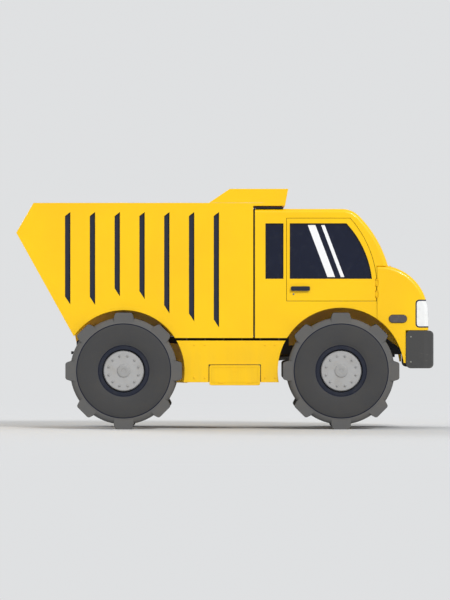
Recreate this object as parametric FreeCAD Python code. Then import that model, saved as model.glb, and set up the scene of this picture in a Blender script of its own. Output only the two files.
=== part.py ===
import FreeCAD, Part
import math
import os

os.makedirs("parts", exist_ok=True)
Vec = FreeCAD.Vector

# Two-axle dump truck, in millimetres. X runs forward, Y to the left, Z up, with the ground at zero.
# The origin is on the ground below the middle of the truck. Left pieces are modelled and mirrored.

# Driving dimensions
overall_length = 5846.0
overall_height = 3364.0
body_width = 2400.0
rear_overhang = 1506.0
front_overhang = 1299.0
tyre_radius = 815.0
tyre_width = 480.0
track_inset = 180.0
bed_cab_gap = 25.0

# Clearances and fits
seat_gap = 0.3
shut_gap = 6.0
bearing_clearance = 0.05
running_gap = 10.0
overrun = 20.0
parallel_share = 0.999

# Axles, wheels and the sides of the body
tail_x = -overall_length / 2
nose_tip_x = overall_length / 2
rear_axle_x = tail_x + rear_overhang
front_axle_x = nose_tip_x - front_overhang
axle_z = tyre_radius
body_side = body_width / 2
wheel_plane = body_side - track_inset / 2

# Tyres and wheels
tread_depth = 66.0
shoulder_drop = 91.0
tread_radius = tyre_radius - tread_depth
shoulder_radius = tread_radius - shoulder_drop
crown_share = 0.66
lug_count = 8
lug_tip_width = 218.0
lug_base_width = 279.0
lug_corner = 38.0
lug_side_inset = 18.0
rim_seat_radius = 317.0
rim_flange_radius = 350.0
rim_wall = 14.0
rim_half_width = 200.0
hub_face_radius = 283.0
hub_face_y = 190.0
hub_sleeve_radius = 110.0
hub_sleeve_y = 60.0
wheel_disc_y = 120.0
wheel_disc_thickness = 25.0
hub_round = 12.0
spindle_radius = 50.0
spindle_end_gap = 5.0
spindle_reach = 110.0

# Wheel arches, and the floors that stand on them
rear_arch_gap = 35.0
front_arch_gap = 70.0
bed_floor_thickness = 60.0
cab_floor_thickness = 60.0
rear_arch_radius = tyre_radius + rear_arch_gap
front_arch_radius = tyre_radius + front_arch_gap
arch_span_rear_x = rear_axle_x + rear_arch_radius
arch_span = front_axle_x - front_arch_radius - arch_span_rear_x
bed_floor_bottom_z = axle_z + rear_arch_radius
bed_floor_top_z = bed_floor_bottom_z + bed_floor_thickness
cab_floor_bottom_z = axle_z + front_arch_radius
cab_floor_top_z = cab_floor_bottom_z + cab_floor_thickness

# Frame
rail_half_width = 420.0
rail_flange = 80.0
rail_wall = 14.0
rail_rise = 225.0
rail_height = 250.0
rail_rear_inset = 983.0
rail_bottom_z = axle_z + rail_rise
rail_top_z = rail_bottom_z + rail_height
rail_rear_x = tail_x + rail_rear_inset
rail_inner_y = rail_half_width - rail_flange
cross_height = 150.0
cross_depth = 90.0
cross_wall = 12.0
axle_cross_reach = 77.0
cab_cross_reach = 504.0
nose_cross_inset = 423.0
end_beam_depth = 140.0
end_beam_drop = 40.0
end_beam_height = 130.0
end_beam_half_width = 470.0
end_beam_bottom_z = rail_bottom_z - end_beam_drop
end_beam_top_z = end_beam_bottom_z + end_beam_height

# Axles, springs and steering
spring_y = 380.0
spring_width = 56.0
spring_half_length = 480.0
leaf_thickness = 14.0
leaf_shares = (1.0, 0.82, 0.6, 0.38)
spring_rise = 22.0
spring_eye_radius = 22.0
spring_pin_radius = 9.0
spring_seat_height = 125.0
spring_seat_z = axle_z + spring_seat_height
spring_pad_length = 150.0
hanger_wall = 10.0
beam_height = 140.0
beam_width = 120.0
beam_web = 40.0
beam_flange = 32.0
kingpin_inset = 50.0
kingpin_y = wheel_plane - kingpin_inset
kingpin_radius = 30.0
kingpin_boss_radius = 58.0
fork_gap = 6.0
fork_thickness = 34.0
knuckle_web_gap = 8.0
knuckle_web_thickness = 34.0
steering_arm_length = 160.0
steering_arm_width = 50.0
tie_pin_radius = 14.0
tie_eye_radius = 27.0
tie_eye_height = 30.0
tie_rod_radius = 14.4
tie_open_clearance = 2.5
axle_tube_radius = 110.0
differential_radius = 200.0
differential_half_width = 210.0
differential_bowl_share = (0.5, 0.86)
pinion_radius = 80.0
pinion_reach = 300.0
shaft_radius = 45.0
shaft_front_rise = 5.0
shaft_lap_share = 0.2
flange_radius = 70.0
flange_thickness = 24.0

# Engine
engine_rear_reach = 324.0
engine_length = 1100.0
engine_half_width = 300.0
engine_drop = 40.0
engine_height = 640.0
engine_rear_x = front_axle_x - engine_rear_reach
engine_bottom_z = rail_bottom_z - engine_drop

# Roof line and the ends of the cab
canopy_drop = 238.0
canopy_roof_gap = 42.0
cab_length = 2503.0
cowl_inset = 640.0
roof_front_inset = 1286.0
cowl_share = 0.3965
canopy_bottom_z = overall_height - canopy_drop
cab_roof_z = canopy_bottom_z - canopy_roof_gap
cab_height = cab_roof_z - cab_floor_top_z
cab_rear_x = nose_tip_x - cab_length
roof_front_x = nose_tip_x - roof_front_inset
cowl_x = nose_tip_x - cowl_inset
cowl_z = cab_floor_top_z + cab_height * cowl_share

# Bed
bed_foot_rise = 460.0
bed_foot_inset = 819.0
bed_rim_drop = 196.0
bed_tip_drop = 418.0
bed_rim_inset = 242.0
bed_rim_front_reach = 620.0
canopy_rear_reach = 329.0
canopy_overhang = 465.0
canopy_lip_setback = 44.0
bed_wall = 90.0
canopy_plate = 40.0
canopy_rib = 20.0
canopy_rib_inset = 20.0
canopy_rib_share = 0.4955
bed_front_x = cab_rear_x - bed_cab_gap
bed_inner_y = body_side - bed_wall
bed_foot_z = axle_z + bed_foot_rise
bed_foot_rear_x = tail_x + bed_foot_inset
bed_rim_z = overall_height - bed_rim_drop
bed_tip_z = bed_rim_z - bed_tip_drop
bed_rim_rear_x = tail_x + bed_rim_inset
bed_rim_front_x = bed_front_x - bed_rim_front_reach
canopy_rear_x = bed_front_x - canopy_rear_reach
canopy_front_x = cab_rear_x + canopy_overhang
canopy_lip_x = canopy_front_x - canopy_lip_setback
flute_inset = 684.0
flute_pitch_share = 0.13174
flute_width = 73.0
flute_depth = 40.0
flute_top_drop = 129.0
flute_top_slant = 57.0
flute_foot_slant = 112.0
flute_foot_shares = (0.355, 0.352, 0.415, 0.395, 0.290, 0.230, 0.185)
flute_first_x = tail_x + flute_inset
flute_pitch = (bed_front_x - flute_first_x) * flute_pitch_share
flute_top_z = bed_rim_z - flute_top_drop
hinge_inset = 883.0
hinge_drop = 90.0
hinge_x = tail_x + hinge_inset
hinge_z = rail_top_z - hinge_drop
hinge_pin_radius = 25.0
hinge_lug_radius = 55.0
hinge_ear = 30.0
hinge_lug_inset = 5.0
runner_gap = 6.0
runner_rear_share = 0.48
runner_front_setback = 95.0
rib_height = 80.0
rib_depth = 80.0
rib_shares = (0.0575, 0.2559, 0.4271, 0.6078, 0.7885)
skirt_tyre_gap = 55.0
skirt_rib_gap = 15.0
skirt_wall = 30.0
skirt_rear_inset = 24.0
skirt_front_reach = 797.0
skirt_rise = 35.0
skirt_y = wheel_plane - tyre_width / 2 - skirt_tyre_gap
rib_half_width = skirt_y - skirt_rib_gap

# Tailgate
gate_thickness = 70.0
gate_inset = 15.0
gate_side_gap = 6.0
gate_bottom_drop = 20.0
gate_top_drop = 45.0
gate_panel_count = 4
gate_panel_depth = 28.0
gate_rib = 60.0
trunnion_radius = 22.0
trunnion_length = 50.0

# Hoist
hoist_foot_reach = 1340.0
hoist_foot_drop = 10.0
hoist_head_reach = 540.0
hoist_head_drop = 145.0
hoist_cross_reach = 160.0
hoist_y = 180.0
hoist_eye_radius = 45.0
hoist_eye_width = 110.0
hoist_pin_radius = 22.0
hoist_ear = 20.0
hoist_ear_gap = 6.0
hoist_ear_share = 0.7
hoist_neck_share = 0.8
barrel_radius = 62.0
barrel_bore = 48.0
barrel_start = 52.0
barrel_length = 650.0
barrel_cap = 16.0
gland_length = 50.0
rod_radius = 38.0
piston_gap = 6.0
piston_length = 28.0
rod_eye_radius = 42.0
rod_eye_width = 90.0
rod_ear_foot = 100.0
hoist_foot_x = hinge_x + hoist_foot_reach
hoist_foot_z = rail_bottom_z - hoist_foot_drop
hoist_head_x = hinge_x + hoist_head_reach
hoist_head_z = bed_floor_bottom_z - hoist_head_drop
hoist_length = math.hypot(hoist_head_x - hoist_foot_x, hoist_head_z - hoist_foot_z)
barrel_end = barrel_start + barrel_length

# Places of the cross members along the frame
axle_cross_x = rear_axle_x + axle_cross_reach
hoist_cross_x = hoist_foot_x + hoist_cross_reach
cab_cross_x = front_axle_x - cab_cross_reach
middle_cross_x = (hoist_cross_x + cab_cross_x) / 2
nose_cross_x = nose_tip_x - nose_cross_inset

# Cab
screen_joint_share = (0.379, 0.129)
cab_wall = 80.0
cab_back_wall = 70.0
roof_thickness = 70.0
roof_header_reach = 103.0
cab_edge_round = 60.0
inner_round_share = 0.5
tunnel_gap = 20.0
tunnel_wall = 30.0
tunnel_rear_reach = 724.0
glass_thickness = 8.0
screen_inset = 6.0
cab_inner_y = body_side - cab_wall
roof_header_x = roof_front_x + roof_header_reach
tunnel_y = rail_half_width + tunnel_gap
tunnel_rear_x = front_axle_x - tunnel_rear_reach

# Doors and windows
door_inset = 445.0
door_hinge_setback = 158.0
door_sill = 36.0
door_header = 133.0
door_top_reach = 115.0
door_curve_foot_share = 0.2719
door_curve_share = (0.733, 0.525)
door_rear_x = cab_rear_x + door_inset
door_hinge_x = cowl_x - door_hinge_setback
door_bottom_z = cab_floor_top_z + door_sill
door_top_z = cab_roof_z - door_header
door_top_front_x = roof_front_x + door_top_reach
door_curve_foot_z = cab_floor_top_z + cab_height * door_curve_foot_share
window_inset = 42.0
window_sill_share = 0.2598
window_header = 70.0
window_top_reach = 63.0
window_front_inset = 68.0
window_curve_share = (0.728, 0.517)
window_rear_x = door_rear_x + window_inset
window_bottom_z = cab_floor_top_z + cab_height * window_sill_share
window_top_z = door_top_z - window_header
window_top_front_x = roof_front_x + window_top_reach
window_bottom_front_x = door_hinge_x - window_front_inset
quarter_rear_inset = 146.0
quarter_front_inset = 46.0
quarter_rear_x = cab_rear_x + quarter_rear_inset
quarter_front_x = door_rear_x - quarter_front_inset
glass_setback = 30.0
strap_shares = (0.29, 0.784)
strap_length_share = 0.185
strap_radius = 15.0
strap_pin_radius = 7.0
strap_end = 14.0
strap_leaf = 12.0
strap_leaf_length = 34.0
strap_run = door_curve_foot_z - door_bottom_z
strap_length = strap_run * strap_length_share
handle_inset = 58.0
handle_length = 267.0
handle_share = 0.4545
handle_height = 63.0
handle_round_share = 0.3
handle_stand_off = 16.0
handle_thickness = 22.0
handle_foot = 40.0
handle_foot_inset = 16.0
handle_foot_share = 0.25
handle_rear_x = door_rear_x + handle_inset
handle_bottom_z = door_bottom_z + (window_bottom_z - door_bottom_z) * handle_share

# Bumper and couplings
bumper_rise = 36.0
bumper_height = 528.0
bumper_length = 388.0
bumper_overlap = 15.0
bumper_wall = 80.0
bumper_round = 65.0
bumper_corner = 150.0
bumper_rear_x = nose_tip_x - bumper_length
bumper_bottom_z = axle_z + bumper_rise
bumper_top_z = bumper_bottom_z + bumper_height
bumper_half_width = body_side + bumper_overlap
tow_hole_inset = 575.0
tow_hole_rise = 259.0
tow_hole_radius = 21.0
tow_hole_y = bumper_half_width - tow_hole_inset
tow_hole_z = bumper_bottom_z + tow_hole_rise
drawbar_half_width = 70.0
drawbar_thickness = 40.0
drawbar_reach = 100.0
drawbar_hole_radius = 24.0
drawbar_hole_edge = 45.0

# Nose
nose_setback = 73.0
nose_wall = 50.0
nose_corner_setback = 6.0
nose_corner_rise = 74.0
nose_upright_share = 0.8
nose_joint_shares = ((0.938, 0.529), (0.630, 0.206))
nose_rear_x = door_hinge_x + shut_gap
nose_front_x = nose_tip_x - nose_setback
nose_foot_z = bumper_top_z + shut_gap
nose_height = cowl_z - nose_foot_z
nose_corner_x = bumper_rear_x - nose_corner_setback
nose_corner_z = bumper_bottom_z + nose_corner_rise
firewall_setback = 53.0
firewall_thickness = 40.0
firewall_engine_gap = 20.0
firewall_x = cowl_x - firewall_setback
firewall_bottom_z = engine_bottom_z + engine_height + firewall_engine_gap
bonnet_rear_reach = 42.0
bonnet_front_setback = 150.0
bonnet_side_inset = 420.0
bonnet_hinge_share = 0.6667
bonnet_leaf_drop = 10.0
bonnet_rear_x = cowl_x + bonnet_rear_reach
bonnet_front_x = nose_front_x - bonnet_front_setback
bonnet_half_width = body_side - bonnet_side_inset
bonnet_hinge_y = bonnet_half_width * bonnet_hinge_share
grille_side_inset = 560.0
grille_bottom_share = 0.0722
grille_top_share = 0.3833
grille_frame = 30.0
grille_depth = 34.0
grille_setback = 10.0
grille_bar_count = 6
grille_bar_height = 10.0
grille_louvre_drop = 14.0
grille_half_width = body_side - grille_side_inset
grille_bottom_z = nose_foot_z + nose_height * grille_bottom_share
grille_top_z = nose_foot_z + nose_height * grille_top_share
headlamp_length = 165.0
headlamp_width = 300.0
headlamp_bottom_share = 0.0589
headlamp_top_share = 0.4556
headlamp_round = 40.0
headlamp_rear_x = nose_front_x - headlamp_length
headlamp_inner_y = body_side - headlamp_width
headlamp_bottom_z = nose_foot_z + nose_height * headlamp_bottom_share
headlamp_top_z = nose_foot_z + nose_height * headlamp_top_share
marker_inset = 166.0
marker_length = 248.0
marker_rise = 107.0
marker_height = 105.0
marker_thickness = 20.0
marker_rear_x = nose_rear_x + marker_inset
marker_bottom_z = nose_foot_z + marker_rise
tail_lamp_edge = 5.0
tail_lamp_width = 80.0
tail_lamp_height = 90.0
tail_lamp_depth = 28.0

# Chassis side panels and boxes
panel_drop = 51.0
panel_foot_drop = 160.0
panel_side_inset = 10.0
panel_wall = 60.0
panel_top_z = rail_top_z - panel_drop
panel_bottom_z = axle_z - panel_foot_drop
panel_outer_y = body_side - panel_side_inset
side_box_place_share = 0.2657
side_box_length_share = 0.546
side_box_drop = 42.0
side_box_height = 283.0
side_box_proud = 12.0
side_box_width = 572.0
side_box_round = 30.0
side_box_gap = 4.0
side_box_rear_x = arch_span_rear_x + arch_span * side_box_place_share
side_box_length = arch_span * side_box_length_share
side_box_bottom_z = panel_bottom_z - side_box_drop
side_box_outer_y = body_side + side_box_proud
side_box_inner_y = side_box_outer_y - side_box_width
outrigger_shares = (0.126, 0.87)
outrigger_thickness = 24.0
outrigger_inner_drop = 200.0
outrigger_knee = 60.0

# Cab furniture
seat_place_share = 0.464
seat_setback = 195.0
seat_length = 500.0
seat_width = 500.0
seat_cushion_share = 0.1813
seat_top_share = 0.7704
seat_cushion_height = 140.0
seat_back_thickness = 130.0
seat_round = 45.0
seat_base_inset = 90.0
seat_y = cab_inner_y * seat_place_share
seat_rear_x = door_rear_x + seat_setback
seat_cushion_z = cab_floor_top_z + cab_height * seat_cushion_share
seat_top_z = cab_floor_top_z + cab_height * seat_top_share
dash_front_gap = 4.0
dash_side_gap = 60.0
dash_shares = ((0.0, 0.0), (0.0, 0.94), (0.40, 1.0), (0.89, 0.90), (1.0, 0.74), (0.55, 0.44), (0.40, 0.0))
dash_depth = 266.0
dash_top_share = 0.3852
dash_half_width = cab_inner_y - dash_side_gap
dash_top_z = cab_floor_top_z + cab_height * dash_top_share
steering_setback = 305.0
steering_share = 0.3701
steering_wheel_radius = 225.0
steering_grip_radius = 17.0
steering_hub_radius = 52.0
steering_hub_depth = 40.0
steering_spoke_radius = 12.0
steering_spoke_count = 3
steering_column_radius = 30.0
steering_column_length = 236.0
steering_tilt = 28.0
steering_wheel_x = door_hinge_x - steering_setback
steering_wheel_z = cab_floor_top_z + cab_height * steering_share


# Basic shapes
def block(x0, x1, y0, y1, z0, z1):
    return Part.makeBox(x1 - x0, y1 - y0, z1 - z0, Vec(x0, y0, z0))


def bar_x(radius, y, z, x0, x1):
    return Part.makeCylinder(radius, x1 - x0, Vec(x0, y, z), Vec(1, 0, 0))


def bar_y(radius, x, z, y0, y1):
    return Part.makeCylinder(radius, y1 - y0, Vec(x, y0, z), Vec(0, 1, 0))


def bar_z(radius, x, y, z0, z1):
    return Part.makeCylinder(radius, z1 - z0, Vec(x, y, z0), Vec(0, 0, 1))


def polygon(points):
    corners = [Vec(x, 0, z) for x, z in points]
    return Part.Face(Part.makePolygon(corners + corners[:1]))


def across(face, y0, y1):
    moved = face.copy()
    moved.translate(Vec(0, y0, 0))
    return moved.extrude(Vec(0, y1 - y0, 0))


def plate(points, y0, y1):
    return across(polygon(points), y0, y1)


def mirrored(shape):
    return shape.mirror(Vec(0, 0, 0), Vec(0, 1, 0))


def pair(shape):
    return Part.makeCompound([shape, mirrored(shape)])


def fused(shapes):
    return shapes[0].multiFuse(shapes[1:]).removeSplitter()


def edges_along(shape, axis, test=None):
    chosen = []
    for edge in shape.Edges:
        first, last = edge.firstVertex().Point, edge.lastVertex().Point
        run = last - first
        straight = run.Length > 0 and abs(run.normalize().dot(axis)) > parallel_share
        if straight and (test is None or test(edge.CenterOfMass)):
            chosen.append(edge)
    return chosen


def rounded(shape, radius, axis, test=None):
    return shape.makeFillet(radius, edges_along(shape, axis, test))


def save(name, shape):
    shape.exportStep("parts/" + name + ".step")


# Tyres: a carcass of revolution with eight transverse lugs that run down over the shoulders
def tyre_solid():
    half = tyre_width / 2
    bead_y = rim_half_width - seat_gap
    bead_radius = rim_seat_radius + seat_gap
    flange_clear = rim_flange_radius + seat_gap
    widest_radius = (rim_flange_radius + shoulder_radius) / 2
    shoulder_y = half - lug_side_inset
    crown_y = half * crown_share
    step = lug_side_inset / 2

    def upper(y, r):
        return Vec(0, y, r)

    right = [
        Part.makeLine(upper(bead_y, bead_radius), upper(bead_y, flange_clear)),
        Part.Arc(upper(bead_y, flange_clear), upper(half, widest_radius),
                 upper(shoulder_y, shoulder_radius)).toShape(),
        Part.makeLine(upper(shoulder_y, shoulder_radius), upper(shoulder_y + step, shoulder_radius + step)),
        Part.makeLine(upper(shoulder_y + step, shoulder_radius + step), upper(crown_y, tread_radius)),
    ]
    left = [edge.mirror(Vec(0, 0, 0), Vec(0, 1, 0)) for edge in right]
    crown = Part.makeLine(upper(crown_y, tread_radius), upper(-crown_y, tread_radius))
    foot = Part.makeLine(upper(bead_y, bead_radius), upper(-bead_y, bead_radius))
    section = Part.Face(Part.Wire(Part.__sortEdges__(right + left + [crown, foot])))
    carcass = section.revolve(Vec(0, 0, 0), Vec(0, 1, 0), 360)
    lugs = []
    for index in range(lug_count):
        lug = lug_solid(shoulder_y)
        lug.rotate(Vec(0, 0, 0), Vec(0, 1, 0), 360.0 * index / lug_count)
        lugs.append(lug)
    return fused([carcass] + lugs)


def lug_solid(half_width):
    tip = lug_tip_width / 2
    base = lug_base_width / 2
    foot_z = -shoulder_radius
    profile = [(-base, foot_z), (-base, -tread_radius), (-tip, -tyre_radius), (tip, -tyre_radius),
               (base, -tread_radius), (base, foot_z)]
    bar = plate(profile, -half_width, half_width)
    bar = rounded(bar, lug_corner, Vec(0, 1, 0), lambda centre: centre.z < -tread_radius - lug_corner / 2)
    return bar


# Wheels: rim, disc and planetary hub drum in one revolve, with the bore for the spindle
def wheel_solid():
    barrel = rim_seat_radius - rim_wall
    bore = spindle_radius + bearing_clearance
    lip = rim_half_width + rim_wall
    disc_out = wheel_disc_y + wheel_disc_thickness
    bore_end = spindle_reach + spindle_end_gap
    points = [(hub_sleeve_y, bore), (hub_sleeve_y, hub_sleeve_radius), (wheel_disc_y, hub_sleeve_radius),
              (wheel_disc_y, barrel), (-lip, barrel), (-lip, rim_flange_radius),
              (-rim_half_width, rim_flange_radius), (-rim_half_width, rim_seat_radius),
              (rim_half_width, rim_seat_radius), (rim_half_width, rim_flange_radius),
              (lip, rim_flange_radius), (lip, barrel), (disc_out, barrel), (disc_out, hub_face_radius),
              (hub_face_y - hub_round, hub_face_radius), (hub_face_y, hub_face_radius - hub_round),
              (hub_face_y, 0), (bore_end, 0), (bore_end, bore)]
    corners = [Vec(0, y, r) for y, r in points]
    section = Part.Face(Part.makePolygon(corners + corners[:1]))
    return section.revolve(Vec(0, 0, 0), Vec(0, 1, 0), 360)


def at_wheel(shape, axle_x, side):
    placed = shape.copy() if side > 0 else mirrored(shape)
    placed.translate(Vec(axle_x, side * wheel_plane, axle_z))
    return placed


# Frame: two channel rails open inward, with spring hangers under them
def channel(x0, x1, outer_y, depth, wall, z0, z1):
    outer = block(x0, x1, outer_y - depth, outer_y, z0, z1)
    return outer.cut(block(x0, x1, outer_y - depth - overrun, outer_y - wall, z0 + wall, z1 - wall))


def spring_hanger(x):
    eye_z = spring_eye_z()
    bottom_z = eye_z - spring_eye_radius
    inner = spring_y - spring_width / 2 - hanger_wall - seat_gap
    outer = spring_y + spring_width / 2 + hanger_wall + seat_gap
    cheeks = block(x - spring_eye_radius, x + spring_eye_radius, inner, outer, bottom_z, rail_bottom_z)
    slot = block(x - spring_half_length, x + spring_half_length, inner + hanger_wall, outer - hanger_wall,
                 bottom_z, rail_bottom_z)
    pin = bar_y(spring_pin_radius, x, eye_z, inner, outer)
    return cheeks.cut(slot).fuse(pin)


def frame_rail():
    front_x = nose_tip_x - bumper_wall - seat_gap
    rail = channel(rail_rear_x, front_x, rail_half_width, rail_flange, rail_wall, rail_bottom_z, rail_top_z)
    hangers = []
    for axle_x in (rear_axle_x, front_axle_x):
        for way in (-1, 1):
            hangers.append(spring_hanger(axle_x + way * spring_half_length))
    return fused([rail] + hangers)


# Cross members: channels between the rail webs, and the end beam with the bed hinge and the drawbar plate
def cross_member(x):
    half = rail_half_width - rail_wall - seat_gap
    z1 = rail_top_z - rail_wall - seat_gap
    z0 = z1 - cross_height
    outer = block(x, x + cross_depth, -half, half, z0, z1)
    return outer.cut(block(x - overrun, x + cross_depth - cross_wall, -half - overrun, half + overrun,
                           z0 + cross_wall, z1 - cross_wall))


def hinge_ears():
    ears = []
    lug_inner = rail_inner_y + hinge_lug_inset
    lug_outer = rail_half_width - hinge_lug_inset
    for y0 in (lug_inner - running_gap - hinge_ear, lug_outer + running_gap):
        ears.append(bar_y(hinge_lug_radius, hinge_x, hinge_z, y0, y0 + hinge_ear))
        ears.append(block(hinge_x - hinge_lug_radius, hinge_x + hinge_lug_radius, y0, y0 + hinge_ear,
                          end_beam_top_z - cross_wall, hinge_z))
    pin = bar_y(hinge_pin_radius, hinge_x, hinge_z, lug_inner - running_gap - hinge_ear,
                lug_outer + running_gap + hinge_ear)
    return ears + [pin]


def end_beam():
    front_x = rail_rear_x - seat_gap
    rear_x = front_x - end_beam_depth
    half = end_beam_half_width
    beam = block(rear_x, front_x, -half, half, end_beam_bottom_z, end_beam_top_z)
    ears = hinge_ears()
    ears += [mirrored(ear) for ear in ears]
    plate_z = end_beam_bottom_z + drawbar_thickness
    drawbar = block(rear_x - drawbar_reach, rear_x + overrun, -drawbar_half_width, drawbar_half_width,
                    plate_z, plate_z + drawbar_thickness)
    hole_x = rear_x - drawbar_reach + drawbar_hole_edge
    body = fused([beam, drawbar] + ears)
    hole = bar_z(drawbar_hole_radius, hole_x, 0, plate_z - overrun, plate_z + drawbar_thickness + overrun)
    return body.cut(hole)


def hoist_cross():
    ears = []
    z1 = rail_top_z - rail_wall - seat_gap
    for y0 in (hoist_y - hoist_eye_width / 2 - hoist_ear_gap - hoist_ear,
               hoist_y + hoist_eye_width / 2 + hoist_ear_gap):
        foot = [(hoist_foot_x - hoist_eye_radius, hoist_foot_z),
                (hoist_foot_x + hoist_eye_radius * hoist_ear_share,
                 hoist_foot_z - hoist_eye_radius * hoist_ear_share),
                (hoist_cross_x + cross_depth, z1 - cross_height), (hoist_cross_x + cross_depth, z1),
                (hoist_cross_x, z1)]
        ear = plate(foot, y0, y0 + hoist_ear)
        ears.append(ear.fuse(bar_y(hoist_eye_radius, hoist_foot_x, hoist_foot_z, y0, y0 + hoist_ear)))
    pin = bar_y(hoist_pin_radius, hoist_foot_x, hoist_foot_z,
                hoist_y - hoist_eye_width / 2 - hoist_ear_gap - hoist_ear,
                hoist_y + hoist_eye_width / 2 + hoist_ear_gap + hoist_ear)
    ears.append(pin)
    ears += [mirrored(ear) for ear in ears]
    return fused([cross_member(hoist_cross_x)] + ears)


def cross_members():
    plain = [cross_member(x) for x in (axle_cross_x, middle_cross_x, cab_cross_x, nose_cross_x)]
    return Part.makeCompound([end_beam(), hoist_cross()] + plain)


# Leaf springs: stepped leaves on one arc, the top one ending in an eye at each hanger
def spring_arc_radius():
    return (spring_half_length ** 2 + spring_rise ** 2) / (2 * spring_rise)


def spring_eye_z():
    stack = leaf_thickness * len(leaf_shares) - leaf_thickness / 2
    return spring_seat_z + seat_gap + stack + spring_rise


def leaf_spring(axle_x):
    middle_z = spring_eye_z() - spring_rise
    centre_z = middle_z + spring_arc_radius()
    solids = []
    for index, share in enumerate(leaf_shares):
        inner = spring_arc_radius() + leaf_thickness * index - leaf_thickness / 2
        outer = inner + leaf_thickness
        half_angle = math.asin(spring_half_length * share / spring_arc_radius())
        ends = []
        for radius in (inner, outer):
            for angle in (-half_angle, 0, half_angle):
                ends.append(Vec(axle_x + radius * math.sin(angle), 0, centre_z - radius * math.cos(angle)))
        wire = Part.Wire([Part.Arc(*ends[0:3]).toShape(), Part.makeLine(ends[2], ends[5]),
                          Part.Arc(ends[5], ends[4], ends[3]).toShape(), Part.makeLine(ends[3], ends[0])])
        solids.append(across(Part.Face(wire), spring_y - spring_width / 2, spring_y + spring_width / 2))
    bores = []
    for way in (-1, 1):
        x = axle_x + way * spring_half_length
        solids.append(bar_y(spring_eye_radius, x, spring_eye_z(), spring_y - spring_width / 2,
                            spring_y + spring_width / 2))
        bores.append(bar_y(spring_pin_radius + seat_gap, x, spring_eye_z(), spring_y - spring_width,
                           spring_y + spring_width))
    return fused(solids).cut(Part.makeCompound(bores))


def leaf_springs():
    springs = []
    for axle_x in (rear_axle_x, front_axle_x):
        spring = leaf_spring(axle_x)
        springs += [spring, mirrored(spring)]
    return Part.makeCompound(springs)


# Front axle: a forged I-beam with kingpin bosses and spring pads
def front_axle():
    half_w = beam_width / 2
    half_h = beam_height / 2
    half_web = beam_web / 2
    web_top = half_h - beam_flange
    points = [(-half_w, -half_h), (half_w, -half_h), (half_w, -web_top), (half_web, -web_top),
              (half_web, web_top), (half_w, web_top), (half_w, half_h), (-half_w, half_h),
              (-half_w, web_top), (-half_web, web_top), (-half_web, -web_top), (-half_w, -web_top)]
    beam = plate([(front_axle_x + x, axle_z + z) for x, z in points], -kingpin_y, kingpin_y)
    pieces = [beam]
    for way in (-1, 1):
        pieces.append(bar_z(kingpin_boss_radius, front_axle_x, way * kingpin_y,
                            axle_z - half_h, axle_z + half_h))
        pieces.append(block(front_axle_x - spring_pad_length / 2, front_axle_x + spring_pad_length / 2,
                            way * spring_y - spring_width, way * spring_y + spring_width,
                            axle_z + web_top, spring_seat_z))
    body = fused(pieces)
    for way in (-1, 1):
        body = body.cut(bar_z(kingpin_radius + bearing_clearance, front_axle_x, way * kingpin_y,
                              axle_z - beam_height, axle_z + beam_height))
    return body


# Rear axle: tube housing with the differential bulge, pinion nose, spring pads and the wheel spindles
def rear_axle():
    tube_end = wheel_plane + hub_sleeve_y - running_gap
    knee_share, bowl_share = differential_bowl_share
    tip = wheel_plane + spindle_reach
    right = [Part.Arc(Vec(0, 0, differential_radius),
                      Vec(0, differential_half_width * knee_share, differential_radius * bowl_share),
                      Vec(0, differential_half_width, axle_tube_radius)).toShape()]
    corners = [Vec(0, differential_half_width, axle_tube_radius), Vec(0, tube_end, axle_tube_radius),
               Vec(0, tube_end, spindle_radius), Vec(0, tip, spindle_radius), Vec(0, tip, 0), Vec(0, 0, 0),
               Vec(0, 0, differential_radius)]
    for first, last in zip(corners[:-1], corners[1:]):
        right.append(Part.makeLine(first, last))
    half = Part.Face(Part.Wire(right)).revolve(Vec(0, 0, 0), Vec(0, 1, 0), 360)
    housing = half.fuse(mirrored(half))
    pinion = bar_x(pinion_radius, 0, 0, 0, pinion_reach)
    body = fused([housing, pinion])
    body.translate(Vec(rear_axle_x, 0, axle_z))
    pads = []
    for way in (-1, 1):
        pads.append(block(rear_axle_x - spring_pad_length / 2, rear_axle_x + spring_pad_length / 2,
                          way * spring_y - spring_width, way * spring_y + spring_width,
                          axle_z, spring_seat_z))
    return fused([body] + pads)


# Steering knuckle: fork with the kingpin, web, spindle and steering arm with its pin
def knuckle():
    fork_inner = beam_height / 2 + fork_gap
    fork_outer = fork_inner + fork_thickness
    web_y = kingpin_y + kingpin_boss_radius + knuckle_web_gap
    web_end = web_y + knuckle_web_thickness
    pieces = [bar_z(kingpin_radius, front_axle_x, kingpin_y, axle_z - fork_outer, axle_z + fork_outer)]
    for z0 in (axle_z - fork_outer, axle_z + fork_inner):
        pieces.append(bar_z(kingpin_boss_radius, front_axle_x, kingpin_y, z0, z0 + fork_thickness))
        pieces.append(block(front_axle_x - kingpin_boss_radius, front_axle_x + kingpin_boss_radius,
                            kingpin_y, web_end, z0, z0 + fork_thickness))
    pieces.append(block(front_axle_x - kingpin_boss_radius, front_axle_x + kingpin_boss_radius,
                        web_y, web_end, axle_z - fork_outer, axle_z + fork_outer))
    pieces.append(bar_y(spindle_radius, front_axle_x, axle_z, web_y, wheel_plane + spindle_reach))
    arm_z = axle_z - fork_outer
    pin_x = front_axle_x - steering_arm_length
    half = steering_arm_width / 2
    arm_top_z = arm_z + fork_thickness
    pieces.append(block(pin_x, front_axle_x, kingpin_y - half, kingpin_y + half, arm_z, arm_top_z))
    pieces.append(bar_z(tie_eye_radius, pin_x, kingpin_y, arm_z, arm_top_z))
    pin_top_z = tie_rod_bottom_z() + tie_eye_height + seat_gap
    pieces.append(bar_z(tie_pin_radius, pin_x, kingpin_y, arm_z, pin_top_z))
    return fused(pieces)


def tie_rod_bottom_z():
    return axle_z - beam_height / 2 - fork_gap + seat_gap


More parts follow.
